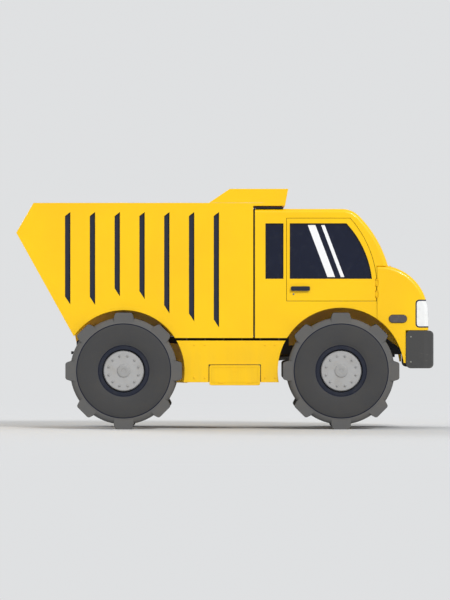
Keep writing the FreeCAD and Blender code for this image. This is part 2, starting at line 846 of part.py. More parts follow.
def tie_rod():
    pin_x = front_axle_x - steering_arm_length
    bottom = tie_rod_bottom_z()
    middle = bottom + tie_eye_height / 2
    rod = bar_y(tie_rod_radius, pin_x, middle, -kingpin_y, kingpin_y)
    eyes = [bar_z(tie_eye_radius, pin_x, way * kingpin_y, bottom, bottom + tie_eye_height) for way in (-1, 1)]
    body = fused([rod] + eyes)
    body = body.cut(bar_z(tie_pin_radius + bearing_clearance, pin_x, kingpin_y, bottom - overrun,
                          bottom + tie_eye_height + overrun))
    return body.cut(bar_z(tie_pin_radius + tie_open_clearance, pin_x, -kingpin_y, bottom - overrun,
                          bottom + tie_eye_height + overrun))


# Engine block and propeller shaft
def engine_block():
    return block(engine_rear_x, engine_rear_x + engine_length, -engine_half_width, engine_half_width,
                 engine_bottom_z, engine_bottom_z + engine_height)


def propeller_shaft():
    start = Vec(rear_axle_x + pinion_reach + seat_gap, 0, axle_z)
    end = Vec(engine_rear_x - seat_gap, 0, rail_bottom_z + shaft_front_rise)
    way = end - start
    inner = way.normalize() * flange_thickness
    tube = Part.makeCylinder(shaft_radius, (end - start).Length - 2 * flange_thickness, start + inner, way)
    length = flange_thickness + shaft_radius * shaft_lap_share
    rear = bar_x(flange_radius, 0, start.z, start.x, start.x + length)
    front = bar_x(flange_radius, 0, end.z, end.x - length, end.x)
    return fused([tube, rear, front])


# Bed side: one thick panel with the tail, the canopy cheek, the wheel arch and the seven flutes
def slant_unit():
    run = Vec(tail_x - bed_foot_rear_x, 0, bed_tip_z - bed_foot_z)
    return run.normalize()


def slant_point(along, inward):
    unit = slant_unit()
    return (bed_foot_rear_x + unit.x * along + unit.z * inward, bed_foot_z + unit.z * along - unit.x * inward)


def gate_hinge():
    length = math.hypot(tail_x - bed_foot_rear_x, bed_tip_z - bed_foot_z)
    return slant_point(length - gate_top_drop, gate_inset + gate_thickness / 2)


def flute_cut(index, foot_share):
    x0 = flute_first_x + index * flute_pitch
    x1 = x0 + flute_width
    foot = bed_foot_z + (bed_rim_z - bed_foot_z) * foot_share
    points = [(x0, foot), (x1, foot - flute_foot_slant), (x1, flute_top_z),
              (x0, flute_top_z - flute_top_slant)]
    return plate(points, body_side - flute_depth, body_side + overrun)


def bed_side():
    outline = [(bed_foot_rear_x, bed_foot_z), (tail_x, bed_tip_z), (bed_rim_rear_x, bed_rim_z),
               (bed_rim_front_x, bed_rim_z), (canopy_rear_x, overall_height),
               (canopy_front_x, overall_height), (canopy_lip_x, canopy_bottom_z),
               (bed_front_x, canopy_bottom_z), (bed_front_x, bed_foot_z)]
    panel = plate(outline, bed_inner_y, body_side)
    cuts = [bar_y(rear_arch_radius, rear_axle_x, axle_z, bed_inner_y - overrun, body_side + overrun)]
    cuts += [flute_cut(index, share) for index, share in enumerate(flute_foot_shares)]
    gate_x, gate_z = gate_hinge()
    cuts.append(bar_y(trunnion_radius + bearing_clearance, gate_x, gate_z, bed_inner_y - overrun,
                      bed_inner_y + trunnion_length + running_gap))
    return panel.cut(Part.makeCompound(cuts))


# Bed front wall with the cab protector
def bed_front_wall():
    half = bed_inner_y - seat_gap
    plate_z = overall_height - canopy_plate
    inner_top_x = canopy_front_x - canopy_plate - canopy_lip_setback * canopy_plate / canopy_drop
    inner_lip_x = canopy_lip_x - canopy_plate
    wall_rear_x = bed_front_x - bed_wall
    profile = [(wall_rear_x, bed_floor_bottom_z), (bed_front_x, bed_floor_bottom_z), (bed_front_x, plate_z),
               (inner_top_x, plate_z), (inner_lip_x, canopy_bottom_z), (canopy_lip_x, canopy_bottom_z),
               (canopy_front_x, overall_height), (canopy_rear_x, overall_height), (canopy_rear_x, plate_z),
               (wall_rear_x, plate_z)]
    pieces = [plate(profile, -half, half)]
    rib_z = canopy_bottom_z + canopy_rib_inset
    rib = [(bed_front_x, plate_z), (inner_top_x, plate_z), (inner_lip_x, rib_z), (bed_front_x, rib_z)]
    rib_y = bed_inner_y * canopy_rib_share
    for y in (-rib_y, 0, rib_y):
        pieces.append(plate(rib, y - canopy_rib / 2, y + canopy_rib / 2))
    return fused(pieces)


# Bed floor with its two hinged runners, cross ribs, inner skirts and the hoist ears
def runner():
    y0 = rail_inner_y + hinge_lug_inset
    y1 = rail_half_width - hinge_lug_inset
    heel_x = slant_point((bed_floor_bottom_z - bed_foot_z) * runner_rear_share, gate_thickness)[0]
    rear_x = heel_x - hinge_lug_radius
    bottom_z = rail_top_z + runner_gap
    front_x = bed_front_x - bed_wall
    profile = [(rear_x, bed_floor_bottom_z), (hinge_x - hinge_lug_radius, hinge_z),
               (hinge_x + hinge_lug_radius, hinge_z), (hinge_x + hinge_lug_radius, bottom_z),
               (front_x - runner_front_setback, bottom_z), (front_x, bottom_z + runner_front_setback),
               (front_x, bed_floor_bottom_z)]
    body = plate(profile, y0, y1).fuse(bar_y(hinge_lug_radius, hinge_x, hinge_z, y0, y1))
    return body.cut(bar_y(hinge_pin_radius + bearing_clearance, hinge_x, hinge_z, y0 - overrun, y1 + overrun))


def hoist_head_ears():
    ears = []
    half_pin = rod_eye_width / 2 + running_gap
    for y0 in (hoist_y - half_pin - hoist_ear_gap - hoist_ear, hoist_y + half_pin + hoist_ear_gap):
        profile = [(hoist_head_x - rod_eye_radius, hoist_head_z),
                   (hoist_head_x + rod_eye_radius, hoist_head_z),
                   (hoist_head_x + rod_ear_foot, bed_floor_bottom_z),
                   (hoist_head_x - rod_ear_foot, bed_floor_bottom_z)]
        ear = plate(profile, y0, y0 + hoist_ear)
        ears.append(ear.fuse(bar_y(rod_eye_radius, hoist_head_x, hoist_head_z, y0, y0 + hoist_ear)))
    return ears


def bed_floor():
    half = bed_inner_y - seat_gap
    inner = gate_inset + gate_thickness + shut_gap
    slant_per_rise = slant_unit().x / slant_unit().z
    low_x, low_z = slant_point((bed_floor_bottom_z - bed_foot_z) / slant_unit().z, inner)
    low_x -= slant_per_rise * (low_z - bed_floor_bottom_z)
    high_x = low_x + slant_per_rise * bed_floor_thickness
    front_x = bed_front_x - bed_wall - seat_gap
    floor = plate([(low_x, bed_floor_bottom_z), (front_x, bed_floor_bottom_z), (front_x, bed_floor_top_z),
                   (high_x, bed_floor_top_z)], -half, half)
    left = [runner()] + hoist_head_ears()
    for share in rib_shares:
        x = hinge_x + (bed_front_x - hinge_x) * share
        left.append(block(x - rib_depth / 2, x + rib_depth / 2, rail_half_width - hinge_lug_inset,
                          rib_half_width, bed_floor_bottom_z - rib_height, bed_floor_bottom_z))
    skirt = block(bed_foot_rear_x + skirt_rear_inset, rear_axle_x + skirt_front_reach, skirt_y,
                  skirt_y + skirt_wall, bed_foot_z + skirt_rise, bed_floor_bottom_z)
    left.append(skirt)
    return fused([floor] + left + [mirrored(shape) for shape in left])


# Tailgate: hangs from two trunnions in the bed sides, with pressed panels between its ribs
def tailgate():
    half = bed_inner_y - gate_side_gap
    hinge = gate_hinge()
    unit = slant_unit()
    bottom = (bed_floor_bottom_z - gate_bottom_drop - bed_foot_z) / unit.z
    top = math.hypot(tail_x - bed_foot_rear_x, bed_tip_z - bed_foot_z) - gate_top_drop
    outer, inner = gate_inset, gate_inset + gate_thickness
    body = plate([slant_point(bottom, outer), slant_point(top, outer), slant_point(top, inner),
                  slant_point(bottom, inner)], -half, half)
    body = body.fuse(bar_y(gate_thickness / 2, hinge[0], hinge[1], -half, half))
    pitch = (2 * half - gate_rib) / gate_panel_count
    for index in range(gate_panel_count):
        y0 = -half + gate_rib + index * pitch
        low, high = bottom + gate_rib, top - gate_rib
        recess = [slant_point(low, outer - overrun), slant_point(high, outer - overrun),
                  slant_point(high, outer + gate_panel_depth), slant_point(low, outer + gate_panel_depth)]
        body = body.cut(plate(recess, y0, y0 + pitch - gate_rib))
    reach = bed_inner_y + trunnion_length
    return fused([body, bar_y(trunnion_radius, hinge[0], hinge[1], -reach, reach)])


# Hoist: two barrels on one foot axis, and two rods whose heads end between the ears of the bed
def hoist_frame(shape):
    placed = shape.copy()
    lean = math.degrees(math.atan2(hoist_head_z - hoist_foot_z, hoist_head_x - hoist_foot_x))
    placed.rotate(Vec(0, 0, 0), Vec(0, 1, 0), -lean)
    placed.translate(Vec(hoist_foot_x, hoist_y, hoist_foot_z))
    return placed


def barrel():
    half = hoist_eye_width / 2
    eye = bar_y(hoist_eye_radius, 0, 0, -half, half)
    neck = bar_x(hoist_eye_radius * hoist_neck_share, 0, 0, 0, barrel_start + barrel_cap)
    tube = bar_x(barrel_radius, 0, 0, barrel_start, barrel_end)
    body = fused([eye, neck, tube])
    bore_start = barrel_start + barrel_cap
    body = body.cut(bar_x(barrel_bore, 0, 0, bore_start, barrel_end - gland_length))
    body = body.cut(bar_x(rod_radius + bearing_clearance, 0, 0, bore_start, barrel_end + overrun))
    return body.cut(bar_y(hoist_pin_radius + bearing_clearance, 0, 0, -half - overrun, half + overrun))


def rod():
    piston_x = barrel_start + barrel_cap + piston_gap
    half = rod_eye_width / 2
    pieces = [bar_x(barrel_bore - bearing_clearance, 0, 0, piston_x, piston_x + piston_length),
              bar_x(rod_radius, 0, 0, piston_x, hoist_length),
              bar_y(rod_eye_radius, hoist_length, 0, -half, half),
              bar_y(hoist_pin_radius, hoist_length, 0, -half - running_gap, half + running_gap)]
    return fused(pieces)


# Cab and nose outlines: the roof runs through the screen curve to the cowl, and on over the nose
def tangent_arcs(points, way):
    edges = []
    for start, end in zip(points[:-1], points[1:]):
        chord = end - start
        along = chord * (way.dot(chord) / chord.dot(chord))
        aside = (way - along).normalize()
        bulge = chord.Length / 2 * math.tan(way.getAngle(chord) / 2)
        edges.append(Part.Arc(start, start + chord * 0.5 + aside * bulge, end).toShape())
        way = along * 2 - way
    return edges


def between(start, end, share):
    return Vec(start.x + (end.x - start.x) * share[0], 0, start.z + (end.z - start.z) * share[1])


def closed_face(edges, points):
    corners = [Vec(x, 0, z) for x, z in points]
    lines = [Part.makeLine(first, last) for first, last in zip(corners[:-1], corners[1:])]
    return Part.Face(Part.Wire(Part.__sortEdges__(edges + lines)))


def cab_face():
    roof_front = Vec(roof_front_x, 0, cab_roof_z)
    cowl = Vec(cowl_x, 0, cowl_z)
    screen = tangent_arcs([roof_front, between(roof_front, cowl, screen_joint_share), cowl], Vec(1, 0, 0))
    front_x = nose_rear_x - shut_gap
    return closed_face(screen, [(cowl_x, cowl_z), (front_x, cowl_z), (front_x, bed_foot_z),
                                (cab_rear_x, bed_foot_z), (cab_rear_x, cab_roof_z),
                                (roof_front_x, cab_roof_z)])


def nose_arcs():
    cowl = Vec(cowl_x, 0, cowl_z)
    foot = Vec(nose_front_x, 0, nose_foot_z)
    upright = between(cowl, foot, (1, nose_upright_share))
    joints = [between(cowl, foot, share) for share in nose_joint_shares]
    return tangent_arcs([upright] + joints + [cowl], Vec(0, 0, 1))


def nose_face():
    upright_z = cowl_z + (nose_foot_z - cowl_z) * nose_upright_share
    return closed_face(nose_arcs(), [(nose_front_x, upright_z), (nose_front_x, nose_foot_z),
                                     (nose_corner_x, nose_foot_z), (nose_corner_x, nose_corner_z),
                                     (nose_rear_x, nose_corner_z), (nose_rear_x, cowl_z), (cowl_x, cowl_z)])


def cab_solid():
    solid = across(cab_face(), -body_side, body_side)
    crown = [edge for edge in solid.Edges
             if abs(abs(edge.CenterOfMass.y) - body_side) < seat_gap
             and edge.CenterOfMass.z > cowl_z + cab_edge_round
             and edge.CenterOfMass.x > cab_rear_x + seat_gap]
    return solid.makeFillet(cab_edge_round, crown)


def arch_cut():
    return bar_y(front_arch_radius, front_axle_x, axle_z, -body_side - overrun, body_side + overrun)


# Doors and windows: outlines shared by the panels, the glass and the openings
def door_face():
    top_front = (door_top_front_x, door_top_z)
    foot = (door_hinge_x - shut_gap, door_curve_foot_z)
    return front_curved_face(top_front, foot, door_curve_share,
                             [foot, (foot[0], door_bottom_z), (door_rear_x, door_bottom_z),
                              (door_rear_x, door_top_z), top_front])


def window_face():
    top_front = (window_top_front_x, window_top_z)
    foot = (window_bottom_front_x, window_bottom_z)
    return front_curved_face(top_front, foot, window_curve_share,
                             [foot, (window_rear_x, window_bottom_z), (window_rear_x, window_top_z),
                              top_front])


def front_curved_face(start, end, share, points):
    first, last = Vec(start[0], 0, start[1]), Vec(end[0], 0, end[1])
    return closed_face([Part.Arc(first, between(first, last, share), last).toShape()], points)


def quarter_face():
    return polygon([(quarter_rear_x, window_bottom_z), (quarter_front_x, window_bottom_z),
                    (quarter_front_x, window_top_z), (quarter_rear_x, window_top_z)])


def roof_zone(gap):
    return block(cab_rear_x - overrun, roof_header_x + gap, -body_side - overrun, body_side + overrun,
                 cab_roof_z - roof_thickness - gap, cab_roof_z + overrun)


def cab_side(cab):
    side = cab.common(block(cab_rear_x, cowl_x, cab_inner_y, body_side, bed_foot_z, cab_roof_z))
    opening = across(door_face().makeOffset2D(shut_gap), cab_inner_y - overrun, body_side + overrun)
    quarter = across(quarter_face(), cab_inner_y - overrun, body_side + overrun)
    front_strip = block(door_hinge_x - shut_gap, nose_rear_x, cab_inner_y - overrun, body_side + overrun,
                        door_bottom_z, door_curve_foot_z)
    for tool in (opening, quarter, front_strip, arch_cut(), roof_zone(seat_gap)):
        side = side.cut(tool)
    return side


def cab_roof(cab):
    return cab.common(roof_zone(0))


def cab_back():
    half = cab_inner_y - seat_gap
    return block(cab_rear_x, cab_rear_x + cab_back_wall, -half, half, cab_floor_bottom_z,
                 cab_roof_z - roof_thickness - seat_gap)


def cab_floor():
    half = cab_inner_y - seat_gap
    front_x = firewall_x - seat_gap
    rear_x = cab_rear_x + cab_back_wall + seat_gap
    floor = block(rear_x, front_x, -half, half, cab_floor_bottom_z, cab_floor_top_z)
    wall = block(tunnel_rear_x, front_x, tunnel_y, tunnel_y + tunnel_wall, rail_bottom_z + rail_height / 2,
                 cab_floor_bottom_z)
    shelf = block(tunnel_rear_x, front_x, rail_inner_y, tunnel_y, rail_top_z + seat_gap,
                  rail_top_z + seat_gap + tunnel_wall)
    return fused([floor, wall, shelf, mirrored(wall), mirrored(shelf)])


def windscreen():
    half = cab_inner_y - seat_gap
    outer = across(cab_face().makeOffset2D(-screen_inset), -half, half)
    inner = across(cab_face().makeOffset2D(-screen_inset - glass_thickness), -half - overrun, half + overrun)
    zone = block(roof_header_x + seat_gap, cowl_x, -half, half, cowl_z + seat_gap, cab_roof_z)
    return outer.cut(inner).common(zone)


def glass_in(face):
    outer_y = body_side - glass_setback
    return across(face.makeOffset2D(-seat_gap), outer_y - glass_thickness, outer_y)


def cab_glass():
    return Part.makeCompound([windscreen(), glass_in(quarter_face()), mirrored(glass_in(quarter_face()))])


# Strap hinges of the doors and the bonnet, drawn about the Z axis with the skin at Y zero:
# a sleeve with its leaf on the moving panel, and a pin with two end knuckles on the fixed one
def strap_zs():
    return [door_bottom_z + strap_run * share for share in strap_shares]


def strap_sleeve(leaf_drop):
    half = strap_length / 2
    leaf = block(-strap_leaf_length, 0, -leaf_drop - strap_leaf, -leaf_drop, -half, half)
    sleeve = bar_z(strap_radius, 0, 0, -half, half).fuse(leaf)
    return sleeve.cut(bar_z(strap_pin_radius + bearing_clearance, 0, 0, -half - overrun, half + overrun))


def strap_pin(leaf_drop):
    reach = strap_length / 2 + shut_gap + strap_end
    pieces = [bar_z(strap_pin_radius, 0, 0, -reach, reach)]
    for z0 in (-reach, reach - strap_end):
        pieces.append(bar_z(strap_radius, 0, 0, z0, z0 + strap_end))
        pieces.append(block(0, strap_leaf_length, -leaf_drop - strap_leaf, -leaf_drop, z0, z0 + strap_end))
    return fused(pieces)


def strap_pocket():
    reach = strap_length / 2 + 2 * shut_gap + strap_end
    return bar_z(strap_radius + shut_gap, 0, 0, -reach, reach)


def at_door_hinge(shape, z):
    placed = shape.copy()
    placed.translate(Vec(door_hinge_x, body_side, z))
    return placed


def at_bonnet_hinge(shape, y):
    placed = shape.copy()
    placed.rotate(Vec(0, 0, 0), Vec(0, 1, 1), 180)
    placed.translate(Vec(bonnet_rear_x, y, bonnet_hinge_z()))
    return placed


def door():
    panel = across(door_face(), cab_inner_y, body_side)
    panel = panel.cut(across(window_face(), cab_inner_y - overrun, body_side + overrun))
    panel = panel.cut(Part.makeCompound([at_door_hinge(strap_pocket(), z) for z in strap_zs()]))
    return fused([panel] + [at_door_hinge(strap_sleeve(0), z) for z in strap_zs()])


def door_handle():
    y0 = body_side + seat_gap
    front_x = handle_rear_x + handle_length
    grip_y = y0 + handle_stand_off
    grip = block(handle_rear_x, front_x, grip_y, grip_y + handle_thickness, handle_bottom_z,
                 handle_bottom_z + handle_height)
    grip = rounded(grip, handle_height * handle_round_share, Vec(0, 1, 0))
    margin = handle_height * handle_foot_share
    feet = [block(x, x + handle_foot, y0, grip_y, handle_bottom_z + margin,
                  handle_bottom_z + handle_height - margin)
            for x in (handle_rear_x + handle_foot_inset, front_x - handle_foot_inset - handle_foot)]
    return fused([grip] + feet)


# Nose shell: fenders, front face and firewall in one, with the bonnet, grille and lamp openings cut out
def nose_solid(inset):
    face = nose_face() if inset == 0 else nose_face().makeOffset2D(-inset)
    half = body_side - inset
    solid = across(face, -half, half)
    crown = [edge for edge in solid.Edges
             if abs(abs(edge.CenterOfMass.y) - half) < seat_gap and edge.CenterOfMass.x > bonnet_rear_x
             and edge.CenterOfMass.z > nose_foot_z + inset + seat_gap]
    return solid.makeFillet(cab_edge_round - inset * inner_round_share, crown)


def nose_walls():
    outer = nose_solid(0)
    inner = nose_solid(nose_wall)
    half = body_side - nose_wall
    rear = block(nose_rear_x - overrun, firewall_x, -half, half, nose_corner_z - overrun, cowl_z + overrun)
    low = block(firewall_x - overrun, nose_front_x - nose_wall, -half, half, nose_corner_z - overrun,
                nose_foot_z + nose_wall * 2)
    return outer.cut(inner).cut(rear).cut(low)


def bonnet_zone(gap):
    return block(bonnet_rear_x + gap, bonnet_front_x - gap, -bonnet_half_width + gap, bonnet_half_width - gap,
                 cab_floor_top_z, cowl_z + overrun)


def headlamp_zone(gap):
    zone = block(headlamp_rear_x + gap, nose_front_x + overrun, headlamp_inner_y + gap, body_side + overrun,
                 headlamp_bottom_z + gap, headlamp_top_z - gap)
    return rounded(zone, headlamp_round, Vec(0, 1, 0), lambda centre: centre.x < headlamp_rear_x + overrun)


def grille_zone(gap):
    return block(nose_front_x - nose_wall - overrun, nose_front_x + overrun, -grille_half_width + gap,
                 grille_half_width - gap, grille_bottom_z + gap, grille_top_z - gap)


def bonnet_hinge_z():
    circle = nose_arcs()[-1].Curve
    return circle.Center.z + math.sqrt(circle.Radius ** 2 - (bonnet_rear_x - circle.Center.x) ** 2)


def nose_shell(walls):
    body = walls.cut(bonnet_zone(0)).cut(grille_zone(0)).cut(headlamp_zone(0)).cut(mirrored(headlamp_zone(0)))
    firewall = block(firewall_x, firewall_x + firewall_thickness, nose_wall - body_side,
                     body_side - nose_wall, firewall_bottom_z, cowl_z - nose_wall / 2)
    body = body.fuse(firewall).cut(arch_cut())
    pockets = [at_door_hinge(strap_pocket(), z) for z in strap_zs()]
    pockets += [mirrored(shape) for shape in pockets]
    pockets += [at_bonnet_hinge(strap_pocket(), y) for y in (-bonnet_hinge_y, bonnet_hinge_y)]
    pins = [at_door_hinge(strap_pin(0), z) for z in strap_zs()]
    pins += [mirrored(shape) for shape in pins]
    pins += [at_bonnet_hinge(strap_pin(bonnet_leaf_drop), y) for y in (-bonnet_hinge_y, bonnet_hinge_y)]
    return fused([body.cut(Part.makeCompound(pockets))] + pins)


def bonnet_lid(walls):
    places = (-bonnet_hinge_y, bonnet_hinge_y)
    lid = walls.common(bonnet_zone(shut_gap))
    lid = lid.cut(Part.makeCompound([at_bonnet_hinge(strap_pocket(), y) for y in places]))
    return fused([lid] + [at_bonnet_hinge(strap_sleeve(bonnet_leaf_drop), y) for y in places])


def headlamps(walls):
    lamp = walls.common(headlamp_zone(seat_gap))
    return pair(lamp)


# Grille: a frame with sloping louvres between its sides
def grille():
    front_x = nose_front_x - grille_setback
    rear_x = front_x - grille_depth
    half = grille_half_width - seat_gap
    z0, z1 = grille_bottom_z + seat_gap, grille_top_z - seat_gap
    frame = block(rear_x, front_x, -half, half, z0, z1)
    frame = frame.cut(block(rear_x - overrun, front_x + overrun, -half + grille_frame, half - grille_frame,
                            z0 + grille_frame, z1 - grille_frame))
    pitch = (z1 - z0 - 2 * grille_frame) / (grille_bar_count + 1)
    bars = []
    for index in range(grille_bar_count):
        z = z0 + grille_frame + pitch * (index + 1) - grille_bar_height / 2
        slope = [(rear_x, z), (front_x - grille_setback, z - grille_louvre_drop),
                 (front_x - grille_setback, z - grille_louvre_drop + grille_bar_height),
                 (rear_x, z + grille_bar_height)]
        bars.append(plate(slope, -half, half))
    return fused([frame] + bars)


# Side marker lamps and tail lamps
def pill(x0, length, z0, height, y0, y1):
    radius = height / 2
    middle = block(x0 + radius, x0 + length - radius, y0, y1, z0, z0 + height)
    ends = [bar_y(radius, x, z0 + radius, y0, y1) for x in (x0 + radius, x0 + length - radius)]
    return fused([middle] + ends)


def marker_lamps():
    y0 = body_side + seat_gap
    return pair(pill(marker_rear_x, marker_length, marker_bottom_z, marker_height, y0, y0 + marker_thickness))


def tail_lamps():
    x1 = rail_rear_x - end_beam_depth - 2 * seat_gap
    middle_z = end_beam_bottom_z + end_beam_height / 2
    outer_y = end_beam_half_width - tail_lamp_edge
    return pair(block(x1 - tail_lamp_depth, x1, outer_y - tail_lamp_width, outer_y,
                      middle_z - tail_lamp_height / 2, middle_z + tail_lamp_height / 2))


# Bumper: wraps round the front corners, with two screw-in tow eye holes
def bumper():
    half = bumper_half_width
    side = block(bumper_rear_x, nose_tip_x, -half, half, bumper_bottom_z, bumper_top_z)
    plan = rounded(side, bumper_corner, Vec(0, 0, 1), lambda centre: centre.x > bumper_rear_x + overrun)
    body = rounded(side, bumper_round, Vec(0, 1, 0)).common(plan)
    hollow = block(bumper_rear_x - overrun, nose_tip_x - bumper_wall, bumper_wall - half, half - bumper_wall,
                   bumper_bottom_z - overrun, bumper_top_z + overrun)
    hollow = rounded(hollow, bumper_corner - bumper_wall, Vec(0, 0, 1),
                     lambda centre: centre.x > bumper_rear_x)
    holes = [bar_x(tow_hole_radius, way * tow_hole_y, tow_hole_z, nose_tip_x - bumper_wall - overrun,
                   nose_tip_x + overrun) for way in (-1, 1)]
    return body.cut(hollow).cut(Part.makeCompound(holes))


# Chassis side panels with their outriggers, and the boxes that hang in them
def side_panel():
    inner_y = panel_outer_y - panel_wall
    front_x = front_axle_x
    panel = block(rear_axle_x, front_x, inner_y, panel_outer_y, panel_bottom_z, panel_top_z)
    panel = panel.cut(bar_y(rear_arch_radius, rear_axle_x, axle_z, inner_y - overrun,
                            panel_outer_y + overrun))
    panel = panel.cut(arch_cut())
    notch = block(side_box_rear_x - side_box_gap, side_box_rear_x + side_box_length + side_box_gap,
                  inner_y - overrun, panel_outer_y + overrun, panel_bottom_z - overrun,
                  side_box_bottom_z + side_box_height + side_box_gap)
    panel = panel.cut(notch)
    arms = []
    box_top = side_box_bottom_z + side_box_height + seat_gap
    root_y, knee_y = rail_half_width + seat_gap, side_box_inner_y + outrigger_knee
    for share in outrigger_shares:
        x = side_box_rear_x + side_box_length * share
        profile = [Vec(x, root_y, panel_top_z), Vec(x, inner_y, panel_top_z), Vec(x, inner_y, box_top),
                   Vec(x, knee_y, box_top), Vec(x, root_y, panel_top_z - outrigger_inner_drop)]
        face = Part.Face(Part.makePolygon(profile + profile[:1]))
        arms.append(face.extrude(Vec(outrigger_thickness, 0, 0)))
    return fused([panel] + arms)


def side_box():
    body = block(side_box_rear_x, side_box_rear_x + side_box_length, side_box_inner_y, side_box_outer_y,
                 side_box_bottom_z, side_box_bottom_z + side_box_height)
    return rounded(body, side_box_round, Vec(0, 1, 0))


# Seats, dashboard and steering wheel
def seat():
    y0, y1 = seat_y - seat_width / 2, seat_y + seat_width / 2
    front_x = seat_rear_x + seat_length
    cushion_top = seat_cushion_z + seat_cushion_height
    cushion = block(seat_rear_x, front_x, y0, y1, seat_cushion_z, cushion_top)
    cushion = rounded(cushion, seat_round, Vec(0, 1, 0), lambda centre: centre.x > front_x - seat_round)
    back = block(seat_rear_x - seat_back_thickness, seat_rear_x, y0, y1, seat_cushion_z,
                 seat_top_z)
    back = rounded(back, seat_round, Vec(1, 0, 0), lambda centre: centre.z > cushion_top)
    base = block(seat_rear_x + seat_base_inset, front_x - seat_base_inset, y0 + seat_base_inset,
                 y1 - seat_base_inset, cab_floor_top_z + seat_gap, seat_cushion_z)
    return fused([cushion, back, base])


def dashboard():
    front_x = firewall_x - dash_front_gap
    base_z = cab_floor_top_z + seat_gap
    points = [(front_x - dash_depth * along, base_z + (dash_top_z - base_z) * up)
              for along, up in dash_shares]
    column = bar_z(steering_column_radius + seat_gap, 0, 0, -steering_column_length - seat_gap, 0)
    return plate(points, -dash_half_width, dash_half_width).cut(at_steering_wheel(column))


def at_steering_wheel(shape):
    shape.rotate(Vec(0, 0, 0), Vec(0, 1, 0), steering_tilt - 90)
    shape.translate(Vec(steering_wheel_x, seat_y, steering_wheel_z))
    return shape


def steering_wheel():
    rim = Part.makeTorus(steering_wheel_radius, steering_grip_radius, Vec(0, 0, 0), Vec(0, 0, 1))
    hub = bar_z(steering_hub_radius, 0, 0, -steering_hub_depth / 2, steering_hub_depth / 2)
    column = bar_z(steering_column_radius, 0, 0, -steering_column_length, 0)
    spokes = []
    for index in range(steering_spoke_count):
        spoke = bar_x(steering_spoke_radius, 0, 0, 0, steering_wheel_radius)
        spoke.rotate(Vec(0, 0, 0), Vec(0, 0, 1), 360.0 * index / steering_spoke_count)
        spokes.append(spoke)
    return at_steering_wheel(fused([rim, hub, column] + spokes))


def write_all():
    tyre, wheel = tyre_solid(), wheel_solid()
    for end, axle_x in (("front", front_axle_x), ("rear", rear_axle_x)):
        for name, side in (("left", 1), ("right", -1)):
            save("tyre_" + end + "_" + name, at_wheel(tyre, axle_x, side))
            save("wheel_" + end + "_" + name, at_wheel(wheel, axle_x, side))
    walls, cab = nose_walls(), cab_solid()
    handed = {"frame_rail": frame_rail(), "knuckle": knuckle(), "bed_side": bed_side(),
              "cab_side": cab_side(cab), "door": door(), "door_glass": glass_in(window_face()),
              "door_handle": door_handle(), "side_panel": side_panel()}
    for name, shape in handed.items():
        save(name + "_left", shape)
        save(name + "_right", mirrored(shape))
    single = {"cross_members": cross_members(), "front_axle": front_axle(), "rear_axle": rear_axle(),
              "leaf_springs": leaf_springs(), "tie_rod": tie_rod(), "engine_block": engine_block(),
              "propeller_shaft": propeller_shaft(), "bed_floor": bed_floor(),
              "bed_front_wall": bed_front_wall(), "tailgate": tailgate(),
              "hoist_barrels": pair(hoist_frame(barrel())), "hoist_rods": pair(hoist_frame(rod())),
              "cab_roof": cab_roof(cab), "cab_back": cab_back(), "cab_floor": cab_floor(),
              "cab_glass": cab_glass(), "nose_shell": nose_shell(walls), "bonnet_lid": bonnet_lid(walls),
              "headlamps": headlamps(walls), "grille": grille(), "marker_lamps": marker_lamps(),
              "tail_lamps": tail_lamps(), "bumper": bumper(), "side_boxes": pair(side_box()),
              "seats": pair(seat()), "dashboard": dashboard(), "steering_wheel": steering_wheel()}
    for name, shape in single.items():
        save(name, shape)


write_all()
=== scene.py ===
import math

import bmesh
import bpy
from mathutils import Matrix, Vector
from mathutils.bvhtree import BVHTree
from mathutils.geometry import convex_hull_2d, interpolate_bezier


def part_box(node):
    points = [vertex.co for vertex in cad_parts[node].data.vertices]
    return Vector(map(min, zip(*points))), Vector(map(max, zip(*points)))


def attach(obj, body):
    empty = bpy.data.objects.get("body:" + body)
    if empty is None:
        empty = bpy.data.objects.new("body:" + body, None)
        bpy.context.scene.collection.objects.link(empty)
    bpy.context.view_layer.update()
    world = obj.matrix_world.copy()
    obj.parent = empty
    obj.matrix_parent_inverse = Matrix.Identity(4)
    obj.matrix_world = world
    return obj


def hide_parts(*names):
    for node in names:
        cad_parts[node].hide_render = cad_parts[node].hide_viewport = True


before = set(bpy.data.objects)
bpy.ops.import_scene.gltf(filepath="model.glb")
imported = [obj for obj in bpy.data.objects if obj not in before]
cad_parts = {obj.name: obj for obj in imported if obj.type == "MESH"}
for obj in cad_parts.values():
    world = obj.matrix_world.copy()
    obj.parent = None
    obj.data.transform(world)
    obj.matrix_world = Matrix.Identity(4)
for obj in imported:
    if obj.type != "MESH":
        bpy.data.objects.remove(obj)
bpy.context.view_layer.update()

scene = bpy.context.scene
scene.view_settings.view_transform = "Standard"


# Camera, lamps and floor
# The truck is seen square from its right-hand side, from far off, so that it stands as flat as in a
# workshop elevation. One pixel of the 450 x 600 picture is 14 mm on the side of its body.
def stand(name, data):
    """Puts data into the scene as an object."""
    thing = bpy.data.objects.new(name, data)
    scene.collection.objects.link(thing)
    return thing


def put(thing, **settings):
    for key, value in settings.items():
        setattr(thing, key, value)
    return thing


pixel, picture_rows, ground_row = 0.014, 600, 429.1
lens_mm, sensor_mm = 400.0, 36.0
near_side_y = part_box("cab_side_right")[0].y
away_y = near_side_y - picture_rows * pixel * lens_mm / sensor_mm
optics = put(bpy.data.cameras.new("side_camera"), lens=lens_mm, sensor_width=sensor_mm, clip_start=1.0,
             clip_end=400.0)
camera_z = (ground_row - picture_rows / 2) * pixel
scene.camera = put(stand("side_camera", optics), location=(0.0, away_y, camera_z),
                   rotation_euler=(math.radians(90), 0.0, 0.0))


